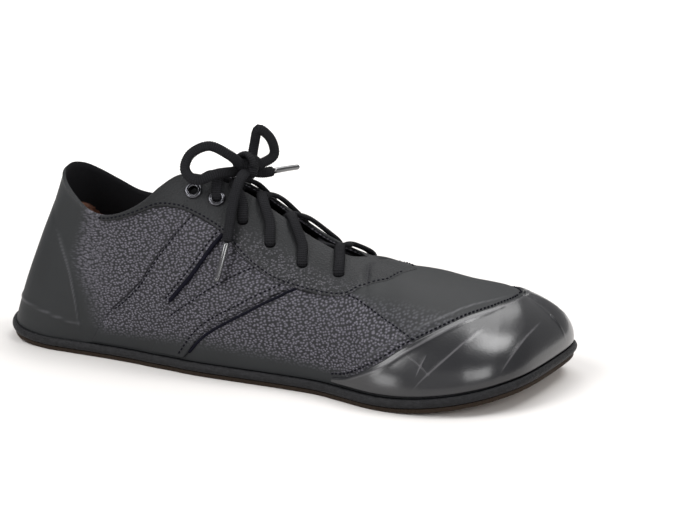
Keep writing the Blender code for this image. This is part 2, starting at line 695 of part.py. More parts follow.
def bar_route():
    """The straight bar over the foot of the throat, from its last hole to the opposite one."""
    row, climb = HOLES[-1]
    return [
        on_side(OUTER, row, climb, LACE_OVER),
        on_side(OUTER, row, 0.5 * (1 + climb), LACE_OVER),
        in_throat(OUTER, row, 1.0, LACE_OVER + GAP),
        in_throat(OUTER, row, 0.0, LACE_OVER),
        in_throat(INNER, row, 1.0, LACE_OVER + GAP),
        on_side(INNER, row, 0.5 * (1 + climb), LACE_OVER),
        on_side(INNER, row, climb, LACE_OVER),
    ]


def tie_route(side):
    """From the last eyelet in use up to the middle of the throat, below the knot."""
    row, climb = HOLES[EYELET_PAIRS - 1]
    over_eyelet = LACE_OVER + EYELET_HEIGHT
    return [
        on_side(side, row, climb, over_eyelet),
        on_side(side, row + 0.04, 0.5 * (1 + climb), over_eyelet),
        on_side(side, row + 0.15, 0.99, LACE_OVER + 2 * GAP),
        in_throat(side, row + 0.15, 0.6, PROUD),
        in_throat(side, row + 0.15, -0.1, 0.8 * PROUD),
    ]


def joined(name, first, second, finish, parent):
    """Two laces joined into one solid where they cross."""
    piece = keep(name, flat_lace(name, first), finish, parent)
    other = bpy.data.objects.new(f"{name}_other", flat_lace(f"{name}_other", second))
    bpy.context.scene.collection.objects.link(other)
    other.parent = parent
    hide_helper(other)
    union = piece.modifiers.new("joined laces", "BOOLEAN")
    union.operation = "UNION"
    union.solver = "EXACT"
    union.object = other
    return piece


def hide_helper(helper):
    helper.hide_render = True
    helper.display_type = "WIRE"


# Routes of the free laces, in millimetres along X, Y and Z from the floor under the heel's rear edge
Cord = namedtuple("Cord", "name diameter points places")
BOW = [
    Cord("lace_knot", KNOT_DIAMETER, 3, [(125.6, -4.6, 93.4), (126.2, 0.0, 93.7), (127.0, 4.6, 93.4)]),
    Cord(
        "lace_loop_outer", CORD_DIAMETER, 16,
        [
            (124.8, -6.5, 96.2), (122.2, -11.0, 100.4), (113.4, -14.6, 104.8), (105.4, -18.4, 101.0),
            (104.2, -22.2, 94.0), (110.6, -22.8, 89.6), (118.4, -17.2, 92.2), (122.2, -6.0, 91.6),
        ],
    ),
    Cord(
        "lace_loop_inner", CORD_DIAMETER, 15,
        [
            (125.0, 7.2, 96.0), (124.8, 10.2, 102.0), (127.0, 10.6, 109.6), (132.6, 12.4, 105.0),
            (134.4, 12.0, 97.4), (130.2, 6.2, 93.8),
        ],
    ),
    Cord("lace_end_inner", CORD_DIAMETER, 6, [(127.3, 5.5, 89.8), (129.6, 10.4, 88.6), (131.8, 15.0, 88.6)]),
    Cord(
        "lace_aglet_inner", AGLET_DIAMETER, 4,
        [(132.0, 15.4, 88.6), (134.8, 22.0, 88.6), (138.0, 32.6, 88.0)],
    ),
    Cord(
        "lace_end_outer", CORD_DIAMETER, 16,
        [
            (127.9, -5.6, 91.4), (128.6, -10.6, 90.8), (128.9, -15.2, 88.0), (129.0, -19.6, 82.4),
            (129.6, -24.4, 75.6), (130.7, -29.4, 68.4), (131.5, -32.9, 63.6),
        ],
    ),
    Cord(
        "lace_aglet_outer", AGLET_DIAMETER, 4,
        [(131.5, -33.2, 63.0), (131.0, -36.6, 56.6), (130.0, -41.0, 46.4)],
    ),
]


def make_cord(cord):
    """A round tube along the smooth curve through a free lace's places."""
    fine = smooth_path([Vector(place) * MM for place in cord.places], 12)
    picked = [fine[round(i * (len(fine) - 1) / (cord.points - 1))] for i in range(cord.points)]
    curve = bpy.data.curves.new(cord.name, "CURVE")
    curve.dimensions = "3D"
    curve.bevel_depth = 0.5 * cord.diameter
    curve.bevel_resolution = CORD_BEVEL_RESOLUTION
    curve.use_fill_caps = True
    spline = curve.splines.new("POLY")
    spline.points.add(cord.points - 1)
    for point, place in zip(spline.points, picked):
        point.co = (*place, 1.0)
    return curve


def main():
    for old in list(bpy.data.objects):
        bpy.data.objects.remove(old)
    shoe = bpy.data.objects.new("shoe", None)
    bpy.context.scene.collection.objects.link(shoe)

    leather = material("black grained leather", (0.045, 0.045, 0.050), 0.55)
    cap_leather = material("black polished leather", (0.030, 0.032, 0.034), 0.25)
    edge_black = material("black sole edge", (0.016, 0.016, 0.018), 0.60)
    tan_rubber = material("tan sole rubber", (0.42, 0.28, 0.15), 0.70)
    tan_leather = material("tan insole leather", (0.45, 0.26, 0.16), 0.75)
    lace = material("black woven lace", (0.015, 0.015, 0.016), 0.80)
    steel = material("polished steel", (0.50, 0.50, 0.51), 0.25, 1.0)

    keep("outsole", make_outsole(), tan_rubber, shoe)
    midsole = keep("midsole", make_midsole(), edge_black, shoe)
    keep("insole", make_insole(), tan_leather, shoe)
    upper = keep("upper", make_upper(), leather, shoe)
    facing = keep("facing", make_facing(), leather, shoe)
    keep("toe_cap", make_toe_cap(), cap_leather, shoe)
    keep("tongue", make_tongue(), leather, shoe)
    for side, label in ((OUTER, "outer"), (INNER, "inner")):
        for strap in STRAPS:
            keep(f"{strap.name}_{label}", make_strap(strap, side), leather, shoe)
    cutter = bpy.data.objects.new("hole_cutter", make_hole_cutter())
    bpy.context.scene.collection.objects.link(cutter)
    cutter.parent = shoe
    hide_helper(cutter)
    cut_with(upper, cutter)
    cut_with(facing, cutter)

    eyelet = make_eyelet()
    for side, label in ((OUTER, "outer"), (INNER, "inner")):
        for number in range(EYELET_PAIRS):
            piece = keep(f"eyelet_{label}_{number + 1}", eyelet, steel, shoe)
            centre, out = hole_axis(side, number)
            piece.matrix_local = Matrix.Translation(centre) @ turned(out)

    last = len(HOLES) - 1
    keep("lace_bar", flat_lace("lace_bar", bar_route()), lace, shoe)
    hidden = [hidden_crossing_route(side, last) for side in (OUTER, INNER)]
    joined("lace_crossing_1", *hidden, lace, shoe)
    for order, number in enumerate(range(last - 1, EYELET_PAIRS - 1, -1)):
        routes = [crossing_route(side, number) for side in (OUTER, INNER)]
        joined(f"lace_crossing_{order + 2}", *routes, lace, shoe)
    joined("lace_tie", tie_route(OUTER), tie_route(INNER), lace, shoe)
    for cord in BOW:
        keep(cord.name, make_cord(cord), lace, shoe)

    # The origin comes to the middle of the sole
    corners = [Vector(v.co) for v in midsole.data.vertices]
    low_x, high_x = min(c.x for c in corners), max(c.x for c in corners)
    low_y, high_y = min(c.y for c in corners), max(c.y for c in corners)
    shoe.location = (-0.5 * (low_x + high_x), -0.5 * (low_y + high_y), 0.0)


main()
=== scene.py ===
"""Looks of the black lace-up barefoot shoe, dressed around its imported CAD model.

The upper's form is the CAD's own: one surface, wall(side, row, climb), from the same two tables. A
place on the shoe is a side (-1 outer, 1 inner), a row of the tables and a climb from the sole (0) to
the top line (1). Here it is worked out for whole arrays of places at once. Points are in the last's
own frame, and in_place() brings them to the CAD's.
"""

import math
from collections import namedtuple

import bmesh
import bpy
import numpy as np
from mathutils import Matrix, Vector


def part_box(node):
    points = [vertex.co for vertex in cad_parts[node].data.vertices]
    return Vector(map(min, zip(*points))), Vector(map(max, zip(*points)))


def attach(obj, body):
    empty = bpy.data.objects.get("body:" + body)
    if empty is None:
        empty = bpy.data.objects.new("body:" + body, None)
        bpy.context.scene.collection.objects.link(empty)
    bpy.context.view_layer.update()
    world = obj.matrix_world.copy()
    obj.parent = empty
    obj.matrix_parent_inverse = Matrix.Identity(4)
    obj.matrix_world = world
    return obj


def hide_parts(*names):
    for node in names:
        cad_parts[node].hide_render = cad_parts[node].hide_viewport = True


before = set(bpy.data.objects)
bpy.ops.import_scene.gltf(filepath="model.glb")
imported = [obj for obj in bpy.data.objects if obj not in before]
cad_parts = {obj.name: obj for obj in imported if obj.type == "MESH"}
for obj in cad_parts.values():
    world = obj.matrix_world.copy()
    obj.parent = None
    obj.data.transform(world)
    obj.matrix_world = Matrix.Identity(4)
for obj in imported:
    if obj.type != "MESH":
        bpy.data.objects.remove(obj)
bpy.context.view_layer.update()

MM = 0.001

# Driving sizes of the last, as in the CAD
LAST_LENGTH = 282 * MM
BALL_WIDTH = 108 * MM
HEEL_HEIGHT = 81 * MM
INSTEP_HEIGHT = 84 * MM
TOE_HEIGHT = 31 * MM

# Sole
OUTSOLE_THICKNESS = 2.0 * MM
OUTSOLE_INSET = 1.6 * MM
MIDSOLE_THICKNESS = 4.0 * MM
FLANGE = 3.0 * MM
TOE_SPRING = 9.0 * MM
HEEL_SPRING = 3.0 * MM
ARCH_LIFT = 1.5 * MM
TOE_SPRING_FROM = 0.76 * LAST_LENGTH
HEEL_SPRING_TO = 0.12 * LAST_LENGTH
ARCH_MIDDLE = 0.43 * LAST_LENGTH
ARCH_HALF_LENGTH = 0.14 * LAST_LENGTH
ARCH_HALF_WIDTH = 0.30 * BALL_WIDTH
INSOLE_THICKNESS = 2.5 * MM
INSOLE_CLEARANCE = 1.0 * MM

# Upper
WALL_THICKNESS = 1.6 * MM
PANEL_THICKNESS = 1.2 * MM
TONGUE_THICKNESS = 2.4 * MM
TONGUE_OVERHANG = 3.0 * MM
TONGUE_ARCH = 2.6 * MM  # 1 mm more than the CAD's
TONGUE_REACH = 0.14
TONGUE_FLAT = 0.45
FULL_OPENING = 7.5 * MM
GAP = 0.3 * MM

# Lacing
LACE_WIDTH = 5.0 * MM
CAD_LACE_THICKNESS = 2.4 * MM
LACE_THICKNESS = 2.2 * MM
BOW_LACE_WIDTH = 4.8 * MM
BOW_LACE_THICKNESS = 3.0 * MM
RIB_PITCH = 1.0 * MM
HOLE_RADIUS = 2.7 * MM
EYELET_FLANGE_RADIUS = 4.2 * MM
AGLET_DIAMETER = 3.0 * MM

OUTER, INNER = -1.0, 1.0
SIDES = {"outer": OUTER, "inner": INNER}

# Sections of the last, from the back seam to the toe tip. Lengths are shares of LAST_LENGTH along X and
# of BALL_WIDTH along Y.
# The top line: x and y are the middle between the two top edges and gap is half of the opening there.
# height and roll are shares of the size that "of" names; roll lifts the outer edge and lowers the inner.
TopLine = namedtuple("TopLine", "name x y gap height roll of")
TOP_LINE = [
    TopLine("back seam", 0.099, 0.0, 0.0, 1.0, 0.0, "heel"),
    TopLine("heel corner", 0.106, 0.0, 0.09, 0.98, 0.0, "heel"),
    TopLine("heel side", 0.123, 0.0, 0.155, 0.931, 0.0, "heel"),
    TopLine("collar back", 0.152, 0.0, 0.205, 0.86, 0.0, "heel"),
    TopLine("collar dip", 0.188, 0.0, 0.24, 0.79, 0.0, "heel"),
    TopLine("collar low", 0.227, 0.0, 0.258, 0.775, 0.0, "heel"),
    TopLine("collar rise", 0.266, 0.0, 0.262, 0.788, 0.0, "instep"),
    TopLine("collar front", 0.296, 0.0, 0.24, 0.85, 0.0, "instep"),
    TopLine("tab back", 0.32, 0.0, 0.195, 0.918, 0.012, "instep"),
    TopLine("tab corner", 0.344, 0.0, 0.15, 0.965, 0.022, "instep"),
    TopLine("tab top", 0.372, 0.0, 0.118, 0.972, 0.024, "instep"),
    TopLine("throat top", 0.415, 0.0, 0.094, 0.938, 0.022, "instep"),
    TopLine("throat upper", 0.468, 0.0, 0.08, 0.868, 0.02, "instep"),
    TopLine("throat middle", 0.524, 0.0, 0.074, 0.765, 0.018, "instep"),
    TopLine("throat lower", 0.584, 0.003, 0.074, 0.652, 0.016, "instep"),
    TopLine("throat foot", 0.643, 0.006, 0.068, 0.582, 0.012, "instep"),
    TopLine("throat end", 0.671, 0.01, 0.0, 0.57, 0.0, "instep"),
    TopLine("vamp back", 0.718, 0.024, 0.0, 0.536, 0.0, "instep"),
    TopLine("vamp middle", 0.768, 0.046, 0.0, 0.514, 0.0, "instep"),
    TopLine("vamp front", 0.817, 0.072, 0.0, 0.476, 0.0, "instep"),
    TopLine("toe back", 0.86, 0.098, 0.0, 1.2, 0.0, "toe"),
    TopLine("toe middle", 0.892, 0.12, 0.0, 1.09, 0.0, "toe"),
    TopLine("toe front", 0.912, 0.136, 0.0, 1.01, 0.0, "toe"),
    TopLine("toe tip", 0.918, 0.142, 0.0, 0.98, 0.0, "toe"),
]
# The walls: out and in are where the section ends on the feather line on each side. stand and lean say
# how far up and how far in the lower wall keeps its first direction and belly pushes it outwards.
# shoulder carries the upper wall out towards the foot of the section and drop hangs it down.
Wall = namedtuple("Wall", "name out_x out_y in_x in_y stand lean belly shoulder drop")
WALLS = [
    Wall("back seam", 0.0, 0.0, 0.0, 0.0, 0.34, 0.33, 0.0, 0.32, 0.34),
    Wall("heel corner", 0.012, -0.135, 0.012, 0.135, 0.34, 0.285, 0.0, 0.3, 0.34),
    Wall("heel side", 0.046, -0.24, 0.046, 0.24, 0.36, 0.16, 0.02, 0.26, 0.34),
    Wall("collar back", 0.103, -0.295, 0.103, 0.29, 0.4, 0.08, 0.02, 0.18, 0.34),
    Wall("collar dip", 0.166, -0.312, 0.166, 0.305, 0.44, 0.02, 0.02, 0.1, 0.34),
    Wall("collar low", 0.231, -0.324, 0.231, 0.298, 0.45, 0.0, 0.02, 0.08, 0.34),
    Wall("collar rise", 0.289, -0.34, 0.289, 0.286, 0.45, 0.0, 0.02, 0.14, 0.34),
    Wall("collar front", 0.334, -0.362, 0.334, 0.284, 0.45, 0.0, 0.02, 0.24, 0.32),
    Wall("tab back", 0.37, -0.374, 0.37, 0.292, 0.45, 0.0, 0.02, 0.34, 0.28),
    Wall("tab corner", 0.404, -0.39, 0.404, 0.304, 0.45, 0.0, 0.02, 0.42, 0.25),
    Wall("tab top", 0.439, -0.4, 0.435, 0.32, 0.45, 0.0, 0.02, 0.44, 0.23),
    Wall("throat top", 0.485, -0.406, 0.477, 0.344, 0.45, 0.0, 0.02, 0.44, 0.22),
    Wall("throat upper", 0.538, -0.412, 0.528, 0.376, 0.45, 0.0, 0.02, 0.44, 0.22),
    Wall("throat middle", 0.596, -0.42, 0.586, 0.41, 0.45, 0.0, 0.02, 0.44, 0.22),
    Wall("throat lower", 0.655, -0.436, 0.645, 0.44, 0.45, 0.0, 0.02, 0.46, 0.22),
    Wall("throat foot", 0.706, -0.478, 0.698, 0.464, 0.45, 0.0, 0.02, 0.5, 0.16),
    Wall("throat end", 0.752, -0.518, 0.748, 0.482, 0.45, 0.0, 0.02, 0.54, 0.04),
    Wall("vamp back", 0.793, -0.536, 0.797, 0.492, 0.45, 0.0, 0.02, 0.56, 0.0),
    Wall("vamp middle", 0.833, -0.534, 0.843, 0.494, 0.45, 0.0, 0.02, 0.58, 0.0),
    Wall("vamp front", 0.875, -0.508, 0.889, 0.484, 0.45, 0.0, 0.02, 0.58, 0.0),
    Wall("toe back", 0.915, -0.456, 0.931, 0.456, 0.45, 0.0, 0.02, 0.58, 0.0),
    Wall("toe middle", 0.953, -0.364, 0.966, 0.402, 0.45, 0.0, 0.02, 0.56, 0.0),
    Wall("toe front", 0.984, -0.194, 0.99, 0.322, 0.45, 0.0, 0.02, 0.54, 0.0),
    Wall("toe tip", 0.998, 0.15, 0.998, 0.15, 0.45, 0.0, 0.02, 0.52, 0.0),
]
SIZE_OF = {"heel": HEEL_HEIGHT, "instep": INSTEP_HEIGHT, "toe": TOE_HEIGHT}
LAST_ROW = len(TOP_LINE) - 1
ROW = {section.name: number for number, section in enumerate(TOP_LINE)}

FEATHER_Z = OUTSOLE_THICKNESS + GAP + MIDSOLE_THICKNESS + GAP


# The form

def smoothly(share):
    """0 below 0, 1 above 1, and a soft climb between."""
    share = np.clip(share, 0.0, 1.0)
    return share * share * (3 - 2 * share)


def curve_value(values, at, before, after):
    """The smooth curve through values, one a row, read at row numbers."""
    at = np.asarray(at, float)
    low = np.clip(np.floor(at).astype(int), 0, len(values) - 2)
    t = at - low
    row = np.array([before, *values, after])
    a, b, c, d = row[low], row[low + 1], row[low + 2], row[low + 3]
    return 0.5 * (2 * b + (c - a) * t + (2 * a - 5 * b + 4 * c - d) * t * t + (3 * b - a - 3 * c + d) * t**3)


def column(table, name, share_of=1.0):
    return [getattr(section, name) * share_of for section in table]


COLUMNS = {
    "top_x": column(TOP_LINE, "x", LAST_LENGTH),
    "top_y": column(TOP_LINE, "y", BALL_WIDTH),
    "gap": column(TOP_LINE, "gap", BALL_WIDTH),
    "height": [section.height * SIZE_OF[section.of] for section in TOP_LINE],
    "roll": [section.roll * SIZE_OF[section.of] for section in TOP_LINE],
    "out_x": column(WALLS, "out_x", LAST_LENGTH),
    "out_y": column(WALLS, "out_y", BALL_WIDTH),
    "in_x": column(WALLS, "in_x", LAST_LENGTH),
    "in_y": column(WALLS, "in_y", BALL_WIDTH),
    "stand": column(WALLS, "stand"),
    "lean": column(WALLS, "lean"),
    "belly": column(WALLS, "belly", BALL_WIDTH),
    "shoulder": column(WALLS, "shoulder"),
    "drop": column(WALLS, "drop"),
}


def read(name, row, mirror=None):
    """A column at row numbers; past the ends it goes on as its mirror column does on the other side."""
    values = COLUMNS[name]
    beyond = COLUMNS[mirror or name]
    return curve_value(values, row, beyond[1], beyond[-2])


def sole_rise(x, y):
    """How far the underside of the sole lies above the floor at places of the plan."""
    toe = np.maximum(0.0, (x - TOE_SPRING_FROM) / (LAST_LENGTH - TOE_SPRING_FROM))
    heel = np.maximum(0.0, (HEEL_SPRING_TO - x) / HEEL_SPRING_TO)
    arch_along = np.maximum(0.0, 1 - ((x - ARCH_MIDDLE) / ARCH_HALF_LENGTH) ** 2)
    arch_across = np.clip(y / ARCH_HALF_WIDTH, 0.0, 1.0)
    return TOE_SPRING * toe**2 + HEEL_SPRING * heel**2 + ARCH_LIFT * arch_along**2 * arch_across**2


def feather_at(side, row):
    """The feather line's plan, where the upper meets the sole."""
    x = np.where(side < 0, read("out_x", row, "in_x"), read("in_x", row, "out_x"))
    y = np.where(side < 0, read("out_y", row, "in_y"), read("in_y", row, "out_y"))
    return x, y


def feather(side, row, outwards=0.0):
    """The feather line's plan, moved outwards by a distance."""
    x, y = feather_at(side, row)
    x0, y0 = feather_at(side, row - 0.01)
    x1, y1 = feather_at(side, row + 0.01)
    along_x, along_y = x1 - x0, y1 - y0
    length = np.hypot(along_x, along_y)
    return x - side * along_y * outwards / length, y + side * along_x * outwards / length


def opening(row):
    """Half of the gap between the top edges; none on the vamp."""
    values = COLUMNS["gap"]
    gap = np.maximum(0.0, curve_value(values, row, -values[1], 0.0))
    return np.where(row >= ROW["throat end"], 0.0, gap)


def top(side, row):
    x = read("top_x", row)
    roll = np.where(row < ROW["throat end"], read("roll", row), 0.0)
    height = FEATHER_Z + sole_rise(x, 0.0) + read("height", row) - side * roll
    return np.stack([x, read("top_y", row) + side * opening(row), height], -1)


def arrays(*values):
    return [np.asarray(value, float) for value in np.broadcast_arrays(*values)]


def unit(vectors):
    return vectors / np.maximum(np.linalg.norm(vectors, axis=-1, keepdims=True), 1e-12)


def bare_wall(side, row, climb):
    side, row, climb = arrays(side, row, climb)
    x, y = feather_at(side, row)
    low = np.stack([x, y, FEATHER_Z + sole_rise(x, y)], -1)
    high = top(side, row)
    out = low - high
    height = -out[..., 2]
    out[..., 2] = 0.0
    ahead, behind = top(side, np.minimum(row + 0.02, LAST_ROW)), top(side, np.maximum(row - 0.02, 0))
    run = np.maximum(ahead[..., 0] - behind[..., 0], 1e-6)
    on_vamp = smoothly(2 * (row - ROW["throat end"]) + 1)
    slope = on_vamp * (ahead[..., 2] - behind[..., 2]) / run
    shoulder = read("shoulder", row)
    lower = low - out * read("lean", row)[..., None] + unit(out) * read("belly", row)[..., None]
    lower[..., 2] += read("stand", row) * height
    upper = high + out * shoulder[..., None]
    upper[..., 2] += slope * out[..., 0] * shoulder - read("drop", row) * height
    c = climb[..., None]
    return low * (1 - c) ** 3 + lower * 3 * c * (1 - c) ** 2 + upper * 3 * c**2 * (1 - c) + high * c**3


def one_sided_normal(side, row, climb):
    step = 0.01
    along = bare_wall(side, np.minimum(row + step, LAST_ROW), climb)
    along = along - bare_wall(side, np.maximum(row - step, 0), climb)
    up = bare_wall(side, row, np.minimum(climb + step, 1)) - bare_wall(side, row, np.maximum(climb - step, 0))
    return unit(np.cross(along, up) * -side[..., None])


def normal(side, row, climb):
    """The wall's outward direction. It turns softly where the two sides meet."""
    side, row, climb = arrays(side, row, climb)
    found = one_sided_normal(side, row, climb)
    near_ridge = smoothly((climb - 0.9) / 0.1) * smoothly(2 * (row - ROW["throat end"]) + 1)
    near_ends = np.maximum(smoothly(1 - 3 * row), smoothly(1 - 3 * (LAST_ROW - row)))
    shared = np.maximum(near_ridge, near_ends)[..., None]
    return unit(found + shared * one_sided_normal(-side, row, climb))


# Relief of the leather: the heel stiffener, the ridge round it and the creases of wear

Place = namedtuple("Place", "row climb")
Crease = namedtuple("Crease", "name depth width places mirrored", defaults=[True])
COUNTER_STEP = 0.8 * MM
COUNTER_SOFTNESS = 0.22  # rows over which the step comes up
COUNTER_EDGE = [
    Place(4.5, 0.0), Place(4.18, 0.16), Place(3.99, 0.32), Place(3.54, 0.516), Place(2.75, 0.669),
    Place(1.6, 0.765), Place(0.0, 0.80),
]
# Fine ridges are painted light, partly as rubbing and partly as highlight, and fine grooves are painted dark
# as shade.
FINE_CREASE = 1.6 * MM  # below this width a crease also shows in the colour

# A depth above 0 is a trough and one below 0 a ridge. Each fades at its ends
CREASES = [
    Crease("vamp bend", 0.8 * MM, 1.5 * MM, [
        Place(15.98, 0.74), Place(16.0, 0.831), Place(16.11, 0.93), Place(16.4, 0.99),
    ]),
    Crease("bend beside it", 0.35 * MM, 2.2 * MM, [Place(16.5, 0.70), Place(16.75, 0.82), Place(16.9, 0.94)]),
    Crease("heel rand", -0.5 * MM, 1.0 * MM, [
        Place(0.2, 0.18), Place(2.65, 0.161), Place(3.33, 0.14), Place(3.81, 0.12), Place(4.52, 0.10),
    ]),
    Crease("bead behind the cap", -0.65 * MM, 1.0 * MM, [
        Place(14.3, 0.10), Place(15.11, 0.135), Place(16.49, 0.30), Place(17.78, 0.455), Place(18.70, 0.585),
        Place(19.81, 0.735), Place(20.9, 0.86), Place(21.9, 0.97),
    ]),
    Crease("counter ridge", -0.9 * MM, 0.9 * MM, [
        Place(2.3, 0.71), Place(2.75, 0.669), Place(3.54, 0.516), Place(3.99, 0.32), Place(4.18, 0.16),
        Place(4.25, 0.08),
    ]),
    Crease("rear seam", 0.4 * MM, 0.8 * MM, [
        Place(9.53, 0.706), Place(8.4, 0.635), Place(7.1, 0.53), Place(5.4, 0.27), Place(4.6, 0.03),
    ]),
    Crease("quarter wave", 0.5 * MM, 4.5 * MM, [Place(5.2, 0.55), Place(6.6, 0.42), Place(7.6, 0.30)]),
    Crease("instep wave", 0.6 * MM, 5.0 * MM, [Place(12.6, 0.44), Place(13.4, 0.30), Place(13.9, 0.16)]),
    Crease("ball wave", 0.5 * MM, 4.0 * MM, [Place(14.4, 0.50), Place(15.2, 0.34), Place(15.6, 0.18)]),
]
SCUFF = -0.05 * MM, 0.5 * MM
CAP_CREASES = [
    Crease("first cap line", -0.14 * MM, 0.7 * MM, [
        Place(18.07, 0.064), Place(18.57, 0.174), Place(19.57, 0.368), Place(20.49, 0.57),
    ]),
    Crease("second cap line", -0.13 * MM, 0.7 * MM, [
        Place(21.03, 0.109), Place(21.47, 0.276), Place(21.93, 0.412), Place(22.57, 0.532),
    ]),
    Crease("scuff", *SCUFF, [Place(17.75, 0.31), Place(18.3, 0.25), Place(18.75, 0.17)], False),
    Crease("scuff across it", *SCUFF, [Place(18.55, 0.33), Place(18.35, 0.24), Place(18.2, 0.16)], False),
    Crease("cap rim", -0.28 * MM, 1.0 * MM, [
        Place(15.1, 0.05), Place(16.7, 0.195), Place(18.0, 0.355), Place(18.9, 0.475), Place(20.4, 0.665),
        Place(21.5, 0.80), Place(22.4, 0.885), Place(23.0, 0.93),
    ]),
]


def line_of(places, count=40):
    """A smooth line of (row, climb) through chosen places."""
    at = np.linspace(0, len(places) - 1, count)
    lines = []
    for values in zip(*places):
        lines.append(curve_value(values, at, 2 * values[0] - values[1], 2 * values[-1] - values[-2]))
    return np.stack(lines, -1)


def on_wall(side, line):
    return bare_wall(side, line[:, 0], line[:, 1])


def nearest_on(points, line):
    """For each point, its distance to a line of points and the share of the line's length there."""
    best = np.full(points.shape[:-1], np.inf)
    share = np.zeros(points.shape[:-1])
    starts, ends = line[:-1], line[1:]
    lengths = np.linalg.norm(ends - starts, axis=-1)
    before = np.concatenate([[0.0], np.cumsum(lengths)])
    for a, b, length, done in zip(starts, ends, lengths, before):
        t = np.clip(((points - a) @ (b - a)) / max(length**2, 1e-12), 0, 1)
        far = np.linalg.norm(points - a - t[..., None] * (b - a), axis=-1)
        nearer = far < best
        best = np.where(nearer, far, best)
        share = np.where(nearer, (done + t * length) / before[-1], share)
    return best, share


def behind_counter_edge(row, climb):
    """1 on the heel stiffener and 0 in front of it."""
    climbs = [place.climb for place in COUNTER_EDGE]
    rows = [place.row for place in COUNTER_EDGE]
    edge = np.interp(climb, climbs, rows, right=-1.0)
    return smoothly((edge - row) / COUNTER_SOFTNESS + 0.5)


def counter_lift(row, climb):
    """The stiffener's step, which fades upwards."""
    return COUNTER_STEP * behind_counter_edge(row, climb) * smoothly((0.86 - climb) / 0.3)


def near_crease(points, crease):
    """Distance of points from a crease, on either side of the shoe, and its strength there."""
    far, share = nearest_on(points, on_wall(OUTER, line_of(crease.places)))
    if crease.mirrored:
        mirrored, mirrored_share = nearest_on(points, on_wall(INNER, line_of(crease.places)))
        share = np.where(mirrored < far, mirrored_share, share)
        far = np.minimum(far, mirrored)
    return far, np.sin(np.pi * np.clip(share, 0.02, 0.98)) ** 0.5


def relief(side, row, climb, more=()):
    """How far the leather stands off the plain wall."""
    points = bare_wall(side, row, climb)
    lift = counter_lift(row, climb)
    for crease in [*CREASES, *more]:
        far, strength = near_crease(points, crease)
        lift = lift - crease.depth * strength * np.exp(-((far / crease.width) ** 2))
    return lift


def wear(side, row, climb, creases):
    """1 on the fine ridges and -1 in the fine grooves. In the colour the ridges are painted light, partly as
    rubbing and partly as highlight, and the grooves dark as shade.
    """
    points = bare_wall(side, row, climb)
    mark = np.zeros(points.shape[:-1])
    for crease in creases:
        if crease.width < FINE_CREASE:
            far, strength = near_crease(points, crease)
            mark = mark - np.sign(crease.depth) * strength * np.exp(-((far / (0.7 * crease.width)) ** 2))
    return np.clip(mark, -1, 1)


def wall(side, row, climb, lift=0.0):
    """Points of the upper's outer face, lifted off it by a distance."""
    side, row, climb = arrays(side, row, climb)
    step = counter_lift(row, climb) + np.asarray(lift, float)
    return bare_wall(side, row, climb) + normal(side, row, climb) * step[..., None]


def sole_middle():
    """The middle of the sole's plan in the last's own frame."""
    rows = np.linspace(0, LAST_ROW, 400)
    x, y = (np.concatenate(both) for both in zip(*(feather(side, rows, FLANGE) for side in SIDES.values())))
    return 0.5 * (x.min() + x.max()), 0.5 * (y.min() + y.max())


def last_origin():
    """Where the last's own origin lies in the CAD's frame."""
    low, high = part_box("midsole")
    x, y = sole_middle()
    return np.array([0.5 * (low.x + high.x) - x, 0.5 * (low.y + high.y) - y, 0.0])


ORIGIN = last_origin()


def in_place(points):
    return np.asarray(points) + ORIGIN


# Finishes

class Shade:
    """A shader socket. An expression on it adds Math nodes."""

    def __init__(self, finish, socket):
        self.finish, self.socket = finish, socket

    def math(self, operation, *values):
        return self.finish.node("ShaderNodeMath", {"operation": operation}, values)

    def __add__(self, other):
        return self.math("ADD", self, other)

    def __radd__(self, other):
        return self.math("ADD", other, self)

    def __sub__(self, other):
        return self.math("SUBTRACT", self, other)

    def __rsub__(self, other):
        return self.math("SUBTRACT", other, self)

    def __mul__(self, other):
        return self.math("MULTIPLY", self, other)

    def __rmul__(self, other):
        return self.math("MULTIPLY", other, self)

    def wave(self):
        return self.finish.node("ShaderNodeMath", {"operation": "SINE"}, [self])

    def soft_step(self, low, high):
        """0 below low, 1 above high."""
        values = {"Value": self, "From Min": low, "From Max": high}
        return self.finish.node("ShaderNodeMapRange", {"interpolation_type": "SMOOTHSTEP"}, values)


